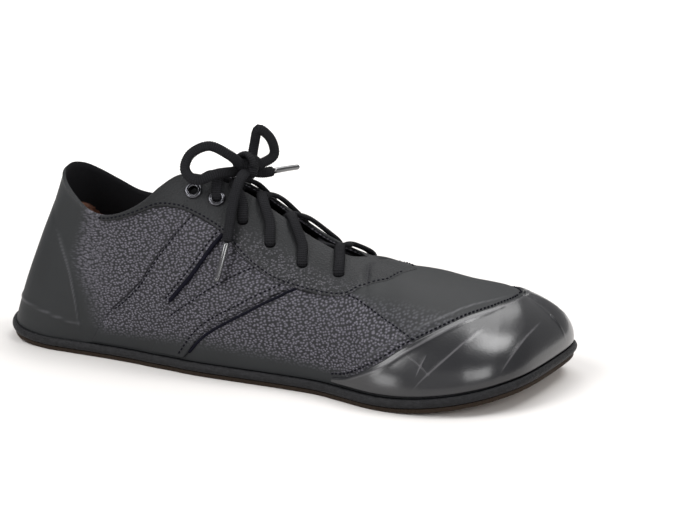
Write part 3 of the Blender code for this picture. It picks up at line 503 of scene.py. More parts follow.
class Finish:
    """One material: a Principled shader with the constants given, and nodes joined to it."""

    def __init__(self, name, **constants):
        self.material = bpy.data.materials.new(name)
        self.material.use_nodes = True
        self.nodes = self.material.node_tree.nodes
        self.shader = self.nodes["Principled BSDF"]
        for words, value in constants.items():
            socket = self.shader.inputs[words.replace("_", " ")]
            socket.default_value = (*value, 1.0) if isinstance(value, tuple) else value

    def node(self, kind, settings=None, inputs=(), output=0):
        made = self.nodes.new(kind)
        for setting, value in (settings or {}).items():
            setattr(made, setting, value)
        for key, value in inputs.items() if isinstance(inputs, dict) else enumerate(inputs):
            self.join(value, made.inputs[key])
        return Shade(self, made.outputs[output])

    def join(self, value, socket):
        if isinstance(value, Shade):
            self.material.node_tree.links.new(value.socket, socket)
        else:
            socket.default_value = value

    def coordinates(self, kind="Object"):
        return self.node("ShaderNodeTexCoord", output=kind)

    def places(self, scale, turn=(0.0, 0.0, 0.0)):
        """Object coordinates in cells: scale holds how many there are in a metre along each axis."""
        inputs = {"Vector": self.coordinates(), "Rotation": turn, "Scale": scale}
        return self.node("ShaderNodeMapping", {}, inputs)

    def part(self, vector, axis):
        return self.node("ShaderNodeSeparateXYZ", {}, [vector], axis)

    def noise(self, scale, detail=3.0, roughness=0.55):
        places = self.places((scale,) * 3)
        values = {"Vector": places, "Scale": 1.0, "Detail": detail, "Roughness": roughness}
        return self.node("ShaderNodeTexNoise", {"noise_dimensions": "3D"}, values)

    def cells(self, places, feature="F1", randomness=1.0, flat=False):
        """Distance in the nearest cell. Flat cells lie in the first two axes and reach through the third."""
        settings = {"feature": feature, "voronoi_dimensions": "2D" if flat else "3D"}
        values = {"Vector": places, "Scale": 1.0, "Randomness": randomness}
        return self.node("ShaderNodeTexVoronoi", settings, values, "Distance")

    def attribute(self, name):
        return self.node("ShaderNodeAttribute", {"attribute_name": name}, output="Fac")

    def groove_shade(self):
        """1 in the fine grooves, by the wear attribute: where shade is painted dark."""
        return (0 - self.attribute("wear")).soft_step(0.1, 0.8)

    def mix(self, share, first, second):
        """A colour between two, by a share."""
        made = self.nodes.new("ShaderNodeMix")
        made.data_type = "RGBA"
        for key, value in ((0, share), (6, first), (7, second)):
            self.join((*value, 1.0) if isinstance(value, tuple) else value, made.inputs[key])
        return Shade(self, made.outputs[2])

    def clouded(self, cloud, colour, lighter):
        """A colour with soft patches of a lighter one."""
        return self.mix(cloud.soft_step(0.3, 0.7), colour, times(colour, lighter))

    def bump(self, height, distance):
        return self.node("ShaderNodeBump", {}, {"Height": height, "Distance": distance, "Strength": 1.0})

    def to(self, **sockets):
        for words, value in sockets.items():
            self.join(value, self.shader.inputs[words.replace("_", " ")])
        return self.material


def times(colour, factor):
    return tuple(factor * part for part in colour)


def warped(finish, scale, amount, warp_scale, turn=(0.0, 0.0, 0.0)):
    """Cell places that a soft noise pushes about, so that the cells don't lie in rows."""
    push = finish.node(
        "ShaderNodeTexNoise", {"noise_dimensions": "3D"},
        {"Vector": finish.places((warp_scale,) * 3), "Scale": 1.0, "Detail": 1.0}, output="Color",
    )
    centred = finish.node("ShaderNodeVectorMath", {"operation": "SUBTRACT"}, [push, (0.5, 0.5, 0.5)])
    scaled = finish.node("ShaderNodeVectorMath", {"operation": "MULTIPLY"}, [centred, (amount,) * 3])
    return finish.node("ShaderNodeVectorMath", {"operation": "ADD"}, [finish.places(scale, turn), scaled])


# Colours are linear
LEATHER_DEEP = (0.010, 0.010, 0.0125)
# painted highlight on the pebble tops
LEATHER_PEBBLE_HIGHLIGHT = (0.135, 0.128, 0.155)
LEATHER_SMOOTH = (0.0105, 0.0115, 0.0125)
FACING_COLOUR = (0.0095, 0.010, 0.011)
FACING_SPECK = (0.072, 0.069, 0.080)
CAP_COLOUR = (0.0065, 0.0065, 0.008)
# painted highlight on the cap's raised lines and rim, and the lighter colour of its scuffs
CAP_LINE_HIGHLIGHT_AND_SCUFF = (0.055, 0.053, 0.058)
LINING_COLOUR = (0.006, 0.006, 0.007)
EDGE_COLOUR = (0.007, 0.007, 0.008)
LACE_COLOUR = (0.006, 0.006, 0.007)
# the thread's colour, also painted into the fine grooves as shade
THREAD_AND_GROOVE_SHADE = (0.002, 0.002, 0.004)
HEEL_LINING_DARK = (0.14, 0.062, 0.04)
HEEL_LINING_LIGHT = (0.40, 0.21, 0.15)
PIPING_COLOUR = (0.001, 0.001, 0.003)
TAN_LEATHER = (0.30, 0.150, 0.085)
TAN_WORN = (0.13, 0.055, 0.03)
TAN_PORE = (0.42, 0.24, 0.15)
TAN_RUBBER = (0.15, 0.095, 0.055)
# painted shade on the outsole's side, under the sole's edge
RUBBER_SIDE_SHADE = (0.022, 0.014, 0.009)
# fine ridges painted light, partly as rubbing and partly as highlight
RUB_AND_HIGHLIGHT = (0.040, 0.040, 0.045)
STEEL_COLOUR = (0.10, 0.10, 0.11)
PLASTIC_COLOUR = (0.020, 0.020, 0.022)
FLOOR_COLOUR = (0.73, 0.71, 0.695)

# How many pebbles lie in a metre, along the shoe and across it
PEBBLES = (590.0, 0.0, 880.0)
LONG_PEBBLES = (300.0, 0.0, 960.0)
SEEN_FROM_SIDE = (0.5 * math.pi, 0.0, 0.35)
REAR_QUARTER = (-0.105, -0.065)  # where the long pebbles give way to round ones, from the shoe's middle


def grained_leather():
    """Full-grain leather where the grain attribute is 1: pebbles whose tops are painted light as highlight,
    with dark creases between them.
    """
    finish = Finish("grained leather", Specular_IOR_Level=0.27)
    grain = finish.attribute("grain")

    def pebbles(scale, amount, warp_scale, randomness):
        places = warped(finish, scale, amount, warp_scale, SEEN_FROM_SIDE)
        return 1 - finish.cells(places, "F1", randomness, True).soft_step(0.02, 0.58)

    round_pebble = pebbles(PEBBLES, 0.5, 160.0, 0.8)
    long_pebble = pebbles(LONG_PEBBLES, 1.2, 70.0, 0.85)
    rear = 1 - finish.part(finish.coordinates(), "X").soft_step(*REAR_QUARTER)
    pebble = round_pebble + rear * (long_pebble - round_pebble)
    fine = finish.noise(2600.0, 2.0)
    cloud = finish.noise(30.0, 3.0)
    tone = finish.noise(520.0, 2.0)
    # The pebble tops are painted light as highlight over the leather's dark colour.
    grained = finish.mix(pebble * (0.35 + 1.0 * tone), LEATHER_DEEP, LEATHER_PEBBLE_HIGHLIGHT)
    smooth = finish.clouded(cloud, LEATHER_SMOOTH, 1.25)
    height = pebble * grain + 0.12 * fine
    # Fine ridges are painted light, partly as rubbing and partly as highlight; fine grooves are painted dark
    # as shade.
    rub_and_highlight, groove_shade = finish.attribute("wear").soft_step(0.1, 0.9), finish.groove_shade()
    colour = finish.mix(rub_and_highlight * (0.4 + 0.8 * tone), finish.mix(grain, smooth, grained), RUB_AND_HIGHLIGHT)
    return finish.to(
        Base_Color=finish.mix(groove_shade, colour, THREAD_AND_GROOVE_SHADE),
        Roughness=0.60 - 0.20 * pebble * grain - 0.2 * rub_and_highlight + 0.3 * groove_shade + 0.08 * (cloud - 0.5),
        Normal=finish.bump(height, 0.34 * MM),
    )


def smooth_leather():
    """The facing: close, slightly crinkled smooth leather."""
    finish = Finish("smooth facing leather", Specular_IOR_Level=0.24)
    speck = 1 - finish.cells(warped(finish, (800.0, 950.0, 950.0), 1.2, 300.0)).soft_step(0.10, 0.60)
    cloud = finish.noise(40.0, 3.0)
    low = finish.attribute("low")
    colour = finish.clouded(cloud, FACING_COLOUR, 1.3)
    specked = finish.mix(low * speck * (0.4 + 1.2 * finish.noise(420.0)), colour, FACING_SPECK)
    return finish.to(
        # The fine grooves are painted dark as shade.
        Base_Color=finish.mix(finish.groove_shade(), specked, THREAD_AND_GROOVE_SHADE),
        Roughness=0.60 - 0.10 * low + 0.06 * (cloud - 0.5),
        Normal=finish.bump(speck + 0.4 * finish.noise(2200.0, 2.0), 0.13 * MM),
    )


def cap_leather():
    """The toe cap: burnished leather with a soft shine and fine wrinkles."""
    finish = Finish("burnished cap leather", Specular_IOR_Level=0.40, Coat_Weight=0.5, Coat_Roughness=0.2)
    cloud = finish.noise(26.0, 3.0)
    wrinkled = warped(finish, (420.0, 620.0, 620.0), 1.6, 200.0)
    wrinkle = finish.cells(wrinkled, "DISTANCE_TO_EDGE").soft_step(0.0, 0.35)
    # The raised lines and the rim are painted light as highlight; the scuffs are lighter as rubbing.
    line = finish.attribute("wear").soft_step(0.15, 0.85) * (0.5 + finish.noise(300.0, 3.0))
    plain = finish.clouded(cloud, CAP_COLOUR, 1.35)
    return finish.to(
        Base_Color=finish.mix(line, plain, CAP_LINE_HIGHLIGHT_AND_SCUFF),
        Roughness=0.25 + 0.12 * cloud + 0.2 * line,
        Normal=finish.bump(0.5 * wrinkle + 0.5 * finish.noise(700.0, 3.0), 0.035 * MM),
    )


def lining_fabric():
    """Black lining, with a tan leather lining in the heel."""
    finish = Finish("black lining", Roughness=0.85, Specular_IOR_Level=0.15)
    weave = finish.noise(1800.0, 2.0)
    black = finish.mix(weave, LINING_COLOUR, times(LINING_COLOUR, 1.8))
    worn = finish.mix(finish.noise(160.0, 4.0).soft_step(0.35, 0.65), HEEL_LINING_DARK, HEEL_LINING_LIGHT)
    return finish.to(
        Base_Color=finish.mix(finish.attribute("heel_lining").soft_step(0.3, 0.7), black, worn),
        Normal=finish.bump(weave, 0.08 * MM),
    )


def black_edge():
    """The sole's wrapped edge: coarse grained and a little shiny on its bead."""
    finish = Finish("black sole edge", Specular_IOR_Level=0.20)
    lump = finish.cells(warped(finish, (520.0, 700.0, 620.0), 1.5, 260.0), "SMOOTH_F1")
    fine = finish.noise(1500.0, 3.0)
    return finish.to(
        Base_Color=finish.mix(lump, times(EDGE_COLOUR, 1.9), times(EDGE_COLOUR, 0.5)),
        Roughness=0.46 + 0.2 * fine,
        Normal=finish.bump(fine - 1.2 * lump, 0.30 * MM),
    )


def tan_rubber():
    """The outsole: fine speckled rubber, with small round studs pressed in underneath. Its side is painted
    dark as the shade under the sole's edge.
    """
    finish = Finish("tan rubber", Roughness=0.85, Specular_IOR_Level=0.2)
    speck = finish.noise(1900.0, 3.0)
    stud = 1 - finish.cells(finish.places((280.0, 280.0, 0.0)), "F1", 0.0).soft_step(0.28, 0.36)
    return finish.to(
        Base_Color=finish.mix(
            finish.attribute("rim").soft_step(0.6, 0.9),
            finish.mix(speck.soft_step(0.35, 0.7), TAN_RUBBER, times(TAN_RUBBER, 0.72)),
            # The side is painted dark as shade.
            RUBBER_SIDE_SHADE,
        ),
        Normal=finish.bump(stud + 0.2 * speck, 0.25 * MM),
    )


def tan_insole():
    """The footbed: vegetable-tanned leather with darker patches from wear."""
    finish = Finish("tan insole leather", Roughness=0.6)
    patch = finish.noise(45.0, 4.0, 0.6)
    pore = finish.noise(1600.0, 2.0)
    worn = finish.mix(patch.soft_step(0.35, 0.68), TAN_LEATHER, TAN_WORN)
    return finish.to(
        Base_Color=finish.mix(0.5 * pore, worn, TAN_PORE),
        Roughness=0.52 + 0.2 * patch,
        Normal=finish.bump(pore, 0.09 * MM),
    )


def woven_lace():
    """Flat woven lace: the UV map runs along it in ribs and round it in yarns."""
    finish = Finish("woven lace", Roughness=0.8, Specular_IOR_Level=0.12)
    uv = finish.coordinates("UV")
    along, across = finish.part(uv, "X"), finish.part(uv, "Y")
    rib = (along * (2 * math.pi)).wave()
    yarn = (across * (44 * math.pi) + 1.5 * rib).wave()
    fuzz = finish.noise(2600.0, 2.0)
    # The rib and yarn tops are painted lighter as highlight and the gaps between them darker as shade.
    light = (0.25 + 0.2 * rib + 0.2 * yarn + 0.5 * fuzz).soft_step(0.0, 1.0)
    return finish.to(
        Base_Color=finish.mix(light, times(LACE_COLOUR, 0.5), times(LACE_COLOUR, 2.6)),
        Normal=finish.bump(0.5 * rib + 0.3 * yarn + 0.5 * fuzz, 0.14 * MM),
    )


def piping_leather():
    finish = Finish("blue-black piping", Roughness=0.65, Specular_IOR_Level=0.08)
    worn = finish.noise(420.0, 3.0)
    return finish.to(
        Base_Color=finish.mix(worn, PIPING_COLOUR, times(PIPING_COLOUR, 3)),
        Normal=finish.bump(worn, 0.12 * MM),
    )


def stitch_thread():
    finish = Finish("black thread", Roughness=0.7, Specular_IOR_Level=0.1)
    twist = finish.noise(3000.0, 1.0)
    colour = finish.mix(twist, THREAD_AND_GROOVE_SHADE, times(THREAD_AND_GROOVE_SHADE, 2.5))
    return finish.to(Base_Color=colour, Normal=finish.bump(twist, 0.05 * MM))


def polished_steel():
    finish = Finish("polished steel", Metallic=1.0, Roughness=0.2)
    wear = finish.noise(700.0, 3.0)
    colour = finish.mix(wear, STEEL_COLOUR, times(STEEL_COLOUR, 0.7))
    return finish.to(Base_Color=colour, Roughness=0.14 + 0.22 * wear)


def shiny_plastic():
    finish = Finish("lace tip plastic", Specular_IOR_Level=0.9, Coat_Weight=1.0, Coat_Roughness=0.1)
    flow = finish.noise(500.0, 2.0)
    colour = finish.mix(flow, PLASTIC_COLOUR, times(PLASTIC_COLOUR, 1.7))
    return finish.to(Base_Color=colour, Roughness=0.10 + 0.12 * flow, Normal=finish.bump(flow, 0.05 * MM))


LEATHER = grained_leather()
FACING = smooth_leather()
CAP = cap_leather()
LINING = lining_fabric()
EDGE = black_edge()
PIPING = piping_leather()
RUBBER = tan_rubber()
INSOLE = tan_insole()
LACE = woven_lace()
THREAD = stitch_thread()
STEEL = polished_steel()
PLASTIC = shiny_plastic()


# Making pieces

def linked(name, data):
    """A new object in the scene."""
    made = bpy.data.objects.new(name, data)
    bpy.context.scene.collection.objects.link(made)
    return made


def evaluated(piece):
    """The mesh that an object's modifiers leave. The object goes."""
    bpy.context.view_layer.update()
    made = bpy.data.meshes.new_from_object(piece.evaluated_get(bpy.context.evaluated_depsgraph_get()))
    bpy.data.objects.remove(piece)
    return made


def kept(name, mesh, replaced=()):
    """A finished mesh becomes a piece of the shoe."""
    piece = linked(name, mesh)
    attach(piece, "root")
    if replaced:
        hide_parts(*replaced)
    return piece


MERGED_WITHIN = 0.004 * MM


def closed(name, points, faces, finishes, marks=None, bands=None, sharp=45, smoothing=0):
    """A closed mesh from points in the last's frame.

    marks holds a number for each point by attribute name, and bands the finish's number for each face.
    Points whose "soften" mark is 1 are smoothed, as many times as smoothing says.
    """
    mesh = bpy.data.meshes.new(name)
    mesh.from_pydata(in_place(points).tolist(), [], faces)
    for finish in finishes:
        mesh.materials.append(finish)
    for attribute, values in (marks or {}).items():
        made = mesh.attributes.new(attribute, "FLOAT", "POINT")
        made.data.foreach_set("value", np.ravel(values).astype(np.float32))
    if bands is not None:
        mesh.polygons.foreach_set("material_index", bands)
    edit = bmesh.new()
    edit.from_mesh(mesh)
    bmesh.ops.remove_doubles(edit, verts=edit.verts, dist=MERGED_WITHIN)
    bmesh.ops.dissolve_degenerate(edit, edges=edit.edges, dist=0.5 * MERGED_WITHIN)
    bmesh.ops.recalc_face_normals(edit, faces=edit.faces)
    if smoothing:
        soften = edit.verts.layers.float["soften"]
        soft = [vert for vert in edit.verts if vert[soften] > 0.5]
        axes = {f"use_axis_{axis}": True for axis in "xyz"}
        for _ in range(smoothing):
            bmesh.ops.smooth_vert(edit, verts=soft, factor=0.5, **axes)
    edit.to_mesh(mesh)
    edit.free()
    mesh.shade_smooth()
    mesh.set_sharp_from_angle(angle=math.radians(sharp))
    return mesh


def grid_faces(columns, steps, first=0, ring=False, turned=False):
    """Faces of a grid of points numbered column by column."""
    faces = []
    for i in range(columns if ring else columns - 1):
        here, there = first + i * steps, first + (i + 1) % columns * steps
        for k in range(steps - 1):
            face = (here + k, there + k, there + k + 1, here + k + 1)
            faces.append(face[::-1] if turned else face)
    return faces


def between(high, low, free_above, ring=False):
    """Points and faces of a closed body between two grids of points.

    A column's last step is closed with a strip where it is free; elsewhere both sides of the shoe meet there.
    """
    columns, steps = high.shape[:2]
    size = columns * steps
    faces = grid_faces(columns, steps, ring=ring) + grid_faces(columns, steps, size, ring, turned=True)
    for i in range(columns if ring else columns - 1):
        ahead = (i + 1) % columns
        a, b = i * steps, ahead * steps
        faces.append((a, a + size, b + size, b))
        if free_above[i] or free_above[ahead]:
            a, b = a + steps - 1, b + steps - 1
            faces.append((b, b + size, a + size, a))
    for a in () if ring else (0, (columns - 1) * steps):
        faces += [(a + k, a + k + 1, a + k + 1 + size, a + k + size) for k in range(steps - 1)]
    return np.concatenate([high.reshape(-1, 3), low.reshape(-1, 3)]), faces


def on_both(marks):
    """Marks of one grid's points, for both grids of a body."""
    return {name: np.tile(np.ravel(values), 2) for name, values in marks.items()}


def rounded(distance, radius):
    """How a round edge rises: 0 at the edge and 1 from a radius away."""
    bend = np.clip(distance / radius, 0, 1)
    return np.sqrt(1 - (1 - bend) ** 2)


def spans(points):
    """Lengths along both ways of a grid of points, from its first column and from its first step."""
    between_columns = np.linalg.norm(np.diff(points, axis=0), axis=-1)
    between_steps = np.linalg.norm(np.diff(points, axis=1), axis=-1)
    along = np.concatenate([np.zeros((1, points.shape[1])), np.cumsum(between_columns, 0)])
    up = np.concatenate([np.zeros((points.shape[0], 1)), np.cumsum(between_steps, 1)], 1)
    return along, up


def clustered(count, edge_share=0.16):
    """Shares from 0 to 1 that lie closer together near both ends."""
    s = np.linspace(0, 1, count)
    return (1 - edge_share) * s + edge_share * (0.5 - 0.5 * np.cos(math.pi * s))


EDGE_LEFT = 0.25  # share of its thickness that a sheet keeps at a free edge


def sheet_on_wall(name, places, thickness, roundness, finishes, marks, foot, creases=(), smoothing=0):
    """A closed sheet of leather on the wall, over a grid of places, with rounded edges below and above.

    Where its columns end on the vamp's ridge it has no edge there, and both sides of the shoe join.
    """
    side, row, climb = places
    base = bare_wall(side, row, climb)
    out = normal(side, row, climb)
    under = relief(side, row, climb, creases)
    _, up = spans(base)
    free_above = ~((climb[:, -1:] > 0.999) & (opening(row[:, -1:]) == 0.0))
    edge = np.minimum(up, np.where(free_above, up[:, -1:] - up, np.inf))
    rise = EDGE_LEFT + (1 - EDGE_LEFT) * rounded(edge, roundness)
    low = base + out * (relief(side, row, climb) + foot)[..., None]
    high = base + out * (under + foot + thickness * rise)[..., None]
    points, faces = between(high, low, free_above[:, 0])
    return closed(name, points, faces, finishes, on_both(marks), smoothing=smoothing)


# Camera and light

CAMERA_AZIMUTH = math.radians(24)
CAMERA_ELEVATION = math.radians(14)
CAMERA_PLACE = (0.4480, -0.9159, 0.3019)
CAMERA_LENS = 112.37


def backwards(azimuth, elevation):
    """The direction from the shoe towards someone who looks at it."""
    level = math.cos(elevation)
    return Vector((math.sin(azimuth) * level, -math.cos(azimuth) * level, math.sin(elevation)))


TO_CAMERA = backwards(CAMERA_AZIMUTH, CAMERA_ELEVATION)


def make_camera():
    data = bpy.data.cameras.new("camera")
    data.lens = CAMERA_LENS
    camera = linked("camera", data)
    camera.location = CAMERA_PLACE
    camera.rotation_euler = (-TO_CAMERA).to_track_quat("-Z", "Y").to_euler()
    bpy.context.scene.camera = camera


WORLD_LIGHT = 0.30
FLOOR_HALF = 6.0
FLOOR_GLOW = 0.8  # the floor shines white away from the shoe, and only the light reaches it near the shoe
GLOW_FROM_TO = 0.17, 0.9

# Angles in degrees; azimuth 0 looks at the outer side and grows towards the toe
Lamp = namedtuple("Lamp", "name azimuth elevation distance size energy")
LAMPS = [
    Lamp("key softbox", -42, 50, 1.5, 0.9, 15.0),
    Lamp("front softbox", 15, 24, 1.8, 1.2, 2.0),
    Lamp("toe softbox", 60, 25, 1.4, 0.6, 6.5),
    Lamp("cap softbox", 116, 58, 1.2, 0.42, 5.5),
    Lamp("low softbox", -28, 9, 1.3, 0.4, 3.0),
    Lamp("back softbox", 188, 58, 1.6, 1.2, 14.0),
]


def make_light():
    world = bpy.data.worlds.new("studio")
    world.use_nodes = True
    world.node_tree.nodes["Background"].inputs["Color"].default_value = (1.0, 1.0, 1.0, 1.0)
    world.node_tree.nodes["Background"].inputs["Strength"].default_value = WORLD_LIGHT
    bpy.context.scene.world = world
    bpy.context.scene.view_settings.view_transform = "Standard"
    for lamp in LAMPS:
        data = bpy.data.lights.new(lamp.name, "AREA")
        data.size = lamp.size
        data.energy = lamp.energy
        away = backwards(math.radians(lamp.azimuth), math.radians(lamp.elevation))
        light = linked(lamp.name, data)
        light.location = away * lamp.distance
        light.rotation_euler = (-away).to_track_quat("-Z", "Y").to_euler()


def make_floor():
    finish = Finish("studio floor", Base_Color=FLOOR_COLOUR, Roughness=0.9, Emission_Strength=FLOOR_GLOW)
    distance = finish.node("ShaderNodeVectorMath", {"operation": "LENGTH"}, [finish.coordinates()], "Value")
    finish.to(Emission_Color=finish.mix(distance.soft_step(*GLOW_FROM_TO), (0.0, 0.0, 0.0), (1.0, 1.0, 1.0)))
    mesh = bpy.data.meshes.new("floor")
    corners = [(x * FLOOR_HALF, y * FLOOR_HALF, 0) for x, y in ((-1, -1), (1, -1), (1, 1), (-1, 1))]
    mesh.from_pydata(corners, [], [(0, 1, 2, 3)])
    mesh.materials.append(finish.material)
    linked("floor", mesh)


# Laces

# Lace holes from the top pair with metal eyelets down to the foot of the throat, as in the CAD
HOLES = [
    Place(9.85, 0.875), Place(10.81, 0.855), Place(11.70, 0.78), Place(12.58, 0.725), Place(13.58, 0.72),
    Place(14.76, 0.79),
]
EYELET_PAIRS = 2
FACING_TOP = GAP + PANEL_THICKNESS
LACE_OVER = FACING_TOP + 0.5 * LACE_THICKNESS
LACE_UNDER = -(WALL_THICKNESS + GAP + 0.5 * LACE_THICKNESS)

# Heights of a lace's middle: deep in a hole, and above, in and below the throat's edges
IN_HOLE = -3.2 * MM
PROUD = 2.9 * MM
SUNK = -1.0 * MM
LOW = -3.2 * MM
CROSSING_LIFT = 1.1 * MM  # half of the height between two laces where one crosses the other

Step = namedtuple("Step", "point up")


def on_side(side, row, climb, lift):
    """A step of a lace that lies flat on the wall."""
    row, climb = float(row), float(climb)
    return Step(wall(side, row, climb, lift), normal(side, row, climb))


def in_hole(side, hole, lift, forwards):
    """A step of a lace that stands in its hole, its flat face towards the sole."""
    row = hole.row
    up_wall = unit(bare_wall(side, row, hole.climb + 0.02) - bare_wall(side, row, hole.climb - 0.02))
    return Step(wall(side, row, hole.climb, lift) + up_wall * forwards, -up_wall)


def in_throat(side, row, share, height):
    """A step in the throat. share is 1 at a side's edge, 0 in the middle and -1 at the other edge."""
    here, there = wall(side, row, 1.0), wall(-side, row, 1.0)
    up = np.array([0, 0, 1.0])
    return Step(here + (there - here) * (0.5 - 0.5 * share) + height * up, up)


def up_through(side, hole):
    """A lace comes up out of its hole and turns over the facing's edge."""
    near_edge = 0.5 * (1 + hole.climb)
    return [
        in_hole(side, hole, IN_HOLE, 0.0),
        in_hole(side, hole, 0.5 * MM, 0.4 * MM),
        on_side(side, hole.row, hole.climb + 0.35 * (near_edge - hole.climb), FACING_TOP + 0.6 * MM),
        on_side(side, hole.row, near_edge, LACE_OVER),
    ]


def up_into(side, hole):
    """A lace below the wall turns up into a hole from the throat."""
    return [
        on_side(side, hole.row, 0.5 * (1 + hole.climb), LACE_UNDER),
        in_hole(side, hole, IN_HOLE, 0.0),
    ]


def crossing_route(side, number):
    """From a hole over the facing's edge and across the throat to below the other side's next hole."""
    here, there = HOLES[number], HOLES[number - 1]
    rows = [here.row + (there.row - here.row) * share for share in (0.22, 0.36, 0.50, 0.64, 0.80)]
    passing = -side * CROSSING_LIFT * (1 if number % 2 else -1)
    return [
        *up_through(side, here),
        on_side(side, rows[0], 0.985, LACE_OVER + 0.4 * MM),
        in_throat(side, rows[1], 0.6, PROUD),
        in_throat(side, rows[2], 0.0, 0.5 * (PROUD + SUNK) + passing),
        in_throat(side, rows[3], -0.62, LOW),
        on_side(-side, rows[4], 0.975, LACE_UNDER),
        *up_into(-side, there),
    ]


def hidden_crossing_route(side, number):
    """Below the wall from one side's hole to the other side's next one."""
    here, there = HOLES[number], HOLES[number - 1]
    rows = [here.row + (there.row - here.row) * share for share in (0.10, 0.30, 0.50, 0.80)]
    return [
        in_hole(side, here, IN_HOLE, 0.0),
        on_side(side, rows[0], 0.5 * (1 + here.climb), LACE_UNDER),
        on_side(side, rows[1], 0.965, LACE_UNDER),
        in_throat(side, rows[2], 0.0, 0.8 * LOW + side * CROSSING_LIFT),
        on_side(-side, rows[3], 0.965, LACE_UNDER),
        *up_into(-side, there),
    ]


def bar_route():
    """The straight bar over the foot of the throat."""
    hole = HOLES[-1]
    start, end = up_through(OUTER, hole), up_through(INNER, hole)[::-1]
    height = LACE_OVER + 0.4 * MM
    middle = [in_throat(OUTER, hole.row, share, height) for share in (0.9, 0.0, -0.9)]
    return [*start, *middle, *end]


def tie_route(side):
    """From the last eyelet in use up to the knot."""
    hole = HOLES[EYELET_PAIRS - 1]
    lifted = 1.0 * MM
    knot = KNOT_MIDDLE + np.array([0.0, 1.5 * MM * side, -3.0 * MM])
    return [
        in_hole(side, hole, IN_HOLE, 0.0),
        in_hole(side, hole, 1.0 * MM, 0.5 * MM),
        on_side(side, hole.row + 0.02, 0.5 * (1 + hole.climb), LACE_OVER + lifted),
        on_side(side, hole.row + 0.10, 0.985, LACE_OVER + lifted),
        in_throat(side, hole.row + 0.15, 0.6, PROUD + lifted),
        Step(knot, np.array([-0.3, 0.0, 1.0])),
    ]


def smooth_route(route, spacing):
    """Points and up directions at even distances along the smooth curve through a route's steps."""
    points = np.array([step.point for step in route])
    ups = np.array([step.up for step in route])
    at = np.linspace(0, len(route) - 1, 40 * len(route))

    def through(values):
        first, last = 2 * values[0] - values[1], 2 * values[-1] - values[-2]
        return np.stack([curve_value(values[:, k], at, first[k], last[k]) for k in range(3)], -1)

    fine, fine_ups = through(points), through(ups)
    done = np.concatenate([[0.0], np.cumsum(np.linalg.norm(np.diff(fine, axis=0), axis=-1))])
    even = np.linspace(0, done[-1], max(3, round(done[-1] / spacing)))
    pick = [np.stack([np.interp(even, done, v[:, k]) for k in range(3)], -1) for v in (fine, fine_ups)]
    return pick[0], unit(pick[1]), even


LACE_SECTION = 20  # points round a lace
SQUEEZE = 0.66
SQUEEZE_RUN = 2.5 * MM


def tube(route, width, thickness, spacing=0.33 * MM, rib=0.08, square=0.75, taper=0.0, squeezed_from=None):
    """A flattened tube along a route: its points, faces and UV pairs, and its middle line.

    squeezed_from is the length after which the lace is drawn thin into its tip.
    """
    middle, ups, even = smooth_route(route, spacing)
    along = unit(np.gradient(middle, axis=0))
    across = unit(np.cross(along, ups))
    rise = np.cross(across, along)
    angle = np.linspace(0, 2 * math.pi, LACE_SECTION, endpoint=False)
    wide = np.sign(np.cos(angle)) * np.abs(np.cos(angle)) ** square
    high = np.sign(np.sin(angle)) * np.abs(np.sin(angle)) ** (0.5 + 0.5 * square)
    swell = 1 + rib * np.cos(2 * math.pi * even / RIB_PITCH)
    end = np.minimum(even, even[-1] - even) / (0.5 * thickness)
    swell = swell * np.sqrt(1 - (1 - np.clip(end, 0.06, 1)) ** 2 * 0.9) * (1 - taper * even / even[-1])
    if squeezed_from is not None:
        swell = swell * (1 - SQUEEZE * smoothly((even - squeezed_from) / SQUEEZE_RUN))
    half_wide, half_high = 0.5 * width * swell, 0.5 * thickness * swell
    points = (
        middle[:, None]
        + across[:, None] * (half_wide[:, None] * wide)[..., None]
        + rise[:, None] * (half_high[:, None] * high)[..., None]
    )
    sections = len(middle)
    faces, uv = [], []
    for i in range(sections - 1):
        for k in range(LACE_SECTION):
            j = (k + 1) % LACE_SECTION
            here, there = i * LACE_SECTION, (i + 1) * LACE_SECTION
            faces.append((here + k, here + j, there + j, there + k))
            a, b = even[i] / RIB_PITCH, even[i + 1] / RIB_PITCH
            left, right = k / LACE_SECTION, (k + 1) / LACE_SECTION
            uv += [(a, left), (a, right), (b, right), (b, left)]
    for start, turn in ((0, -1), ((sections - 1) * LACE_SECTION, 1)):
        faces.append(tuple(range(start, start + LACE_SECTION))[::turn])
        uv += [(0.0, k / LACE_SECTION) for k in range(LACE_SECTION)]
    return points.reshape(-1, 3), faces, uv, middle


def lace_mesh(name, tubes, finish):
    """One mesh of several flattened tubes, with a UV map along and round each."""
    mesh = bpy.data.meshes.new(name)
    points, faces, uv = [], [], []
    for part_points, part_faces, part_uv, _ in tubes:
        first = sum(len(p) for p in points)
        faces += [tuple(first + v for v in face) for face in part_faces]
        points.append(part_points)
        uv += part_uv
    mesh.from_pydata(in_place(np.concatenate(points)).tolist(), [], faces)
    mesh.uv_layers.new(name="weave").data.foreach_set("uv", np.ravel(uv).astype(np.float32))
    mesh.materials.append(finish)
    edit = bmesh.new()
    edit.from_mesh(mesh)
    bmesh.ops.recalc_face_normals(edit, faces=edit.faces)
    edit.to_mesh(mesh)
    edit.free()
    mesh.shade_smooth()
    mesh.set_sharp_from_angle(angle=math.radians(60))
    return mesh


def woven(name, tubes):
    return kept(f"{name}_woven", lace_mesh(name, tubes, LACE), [name])


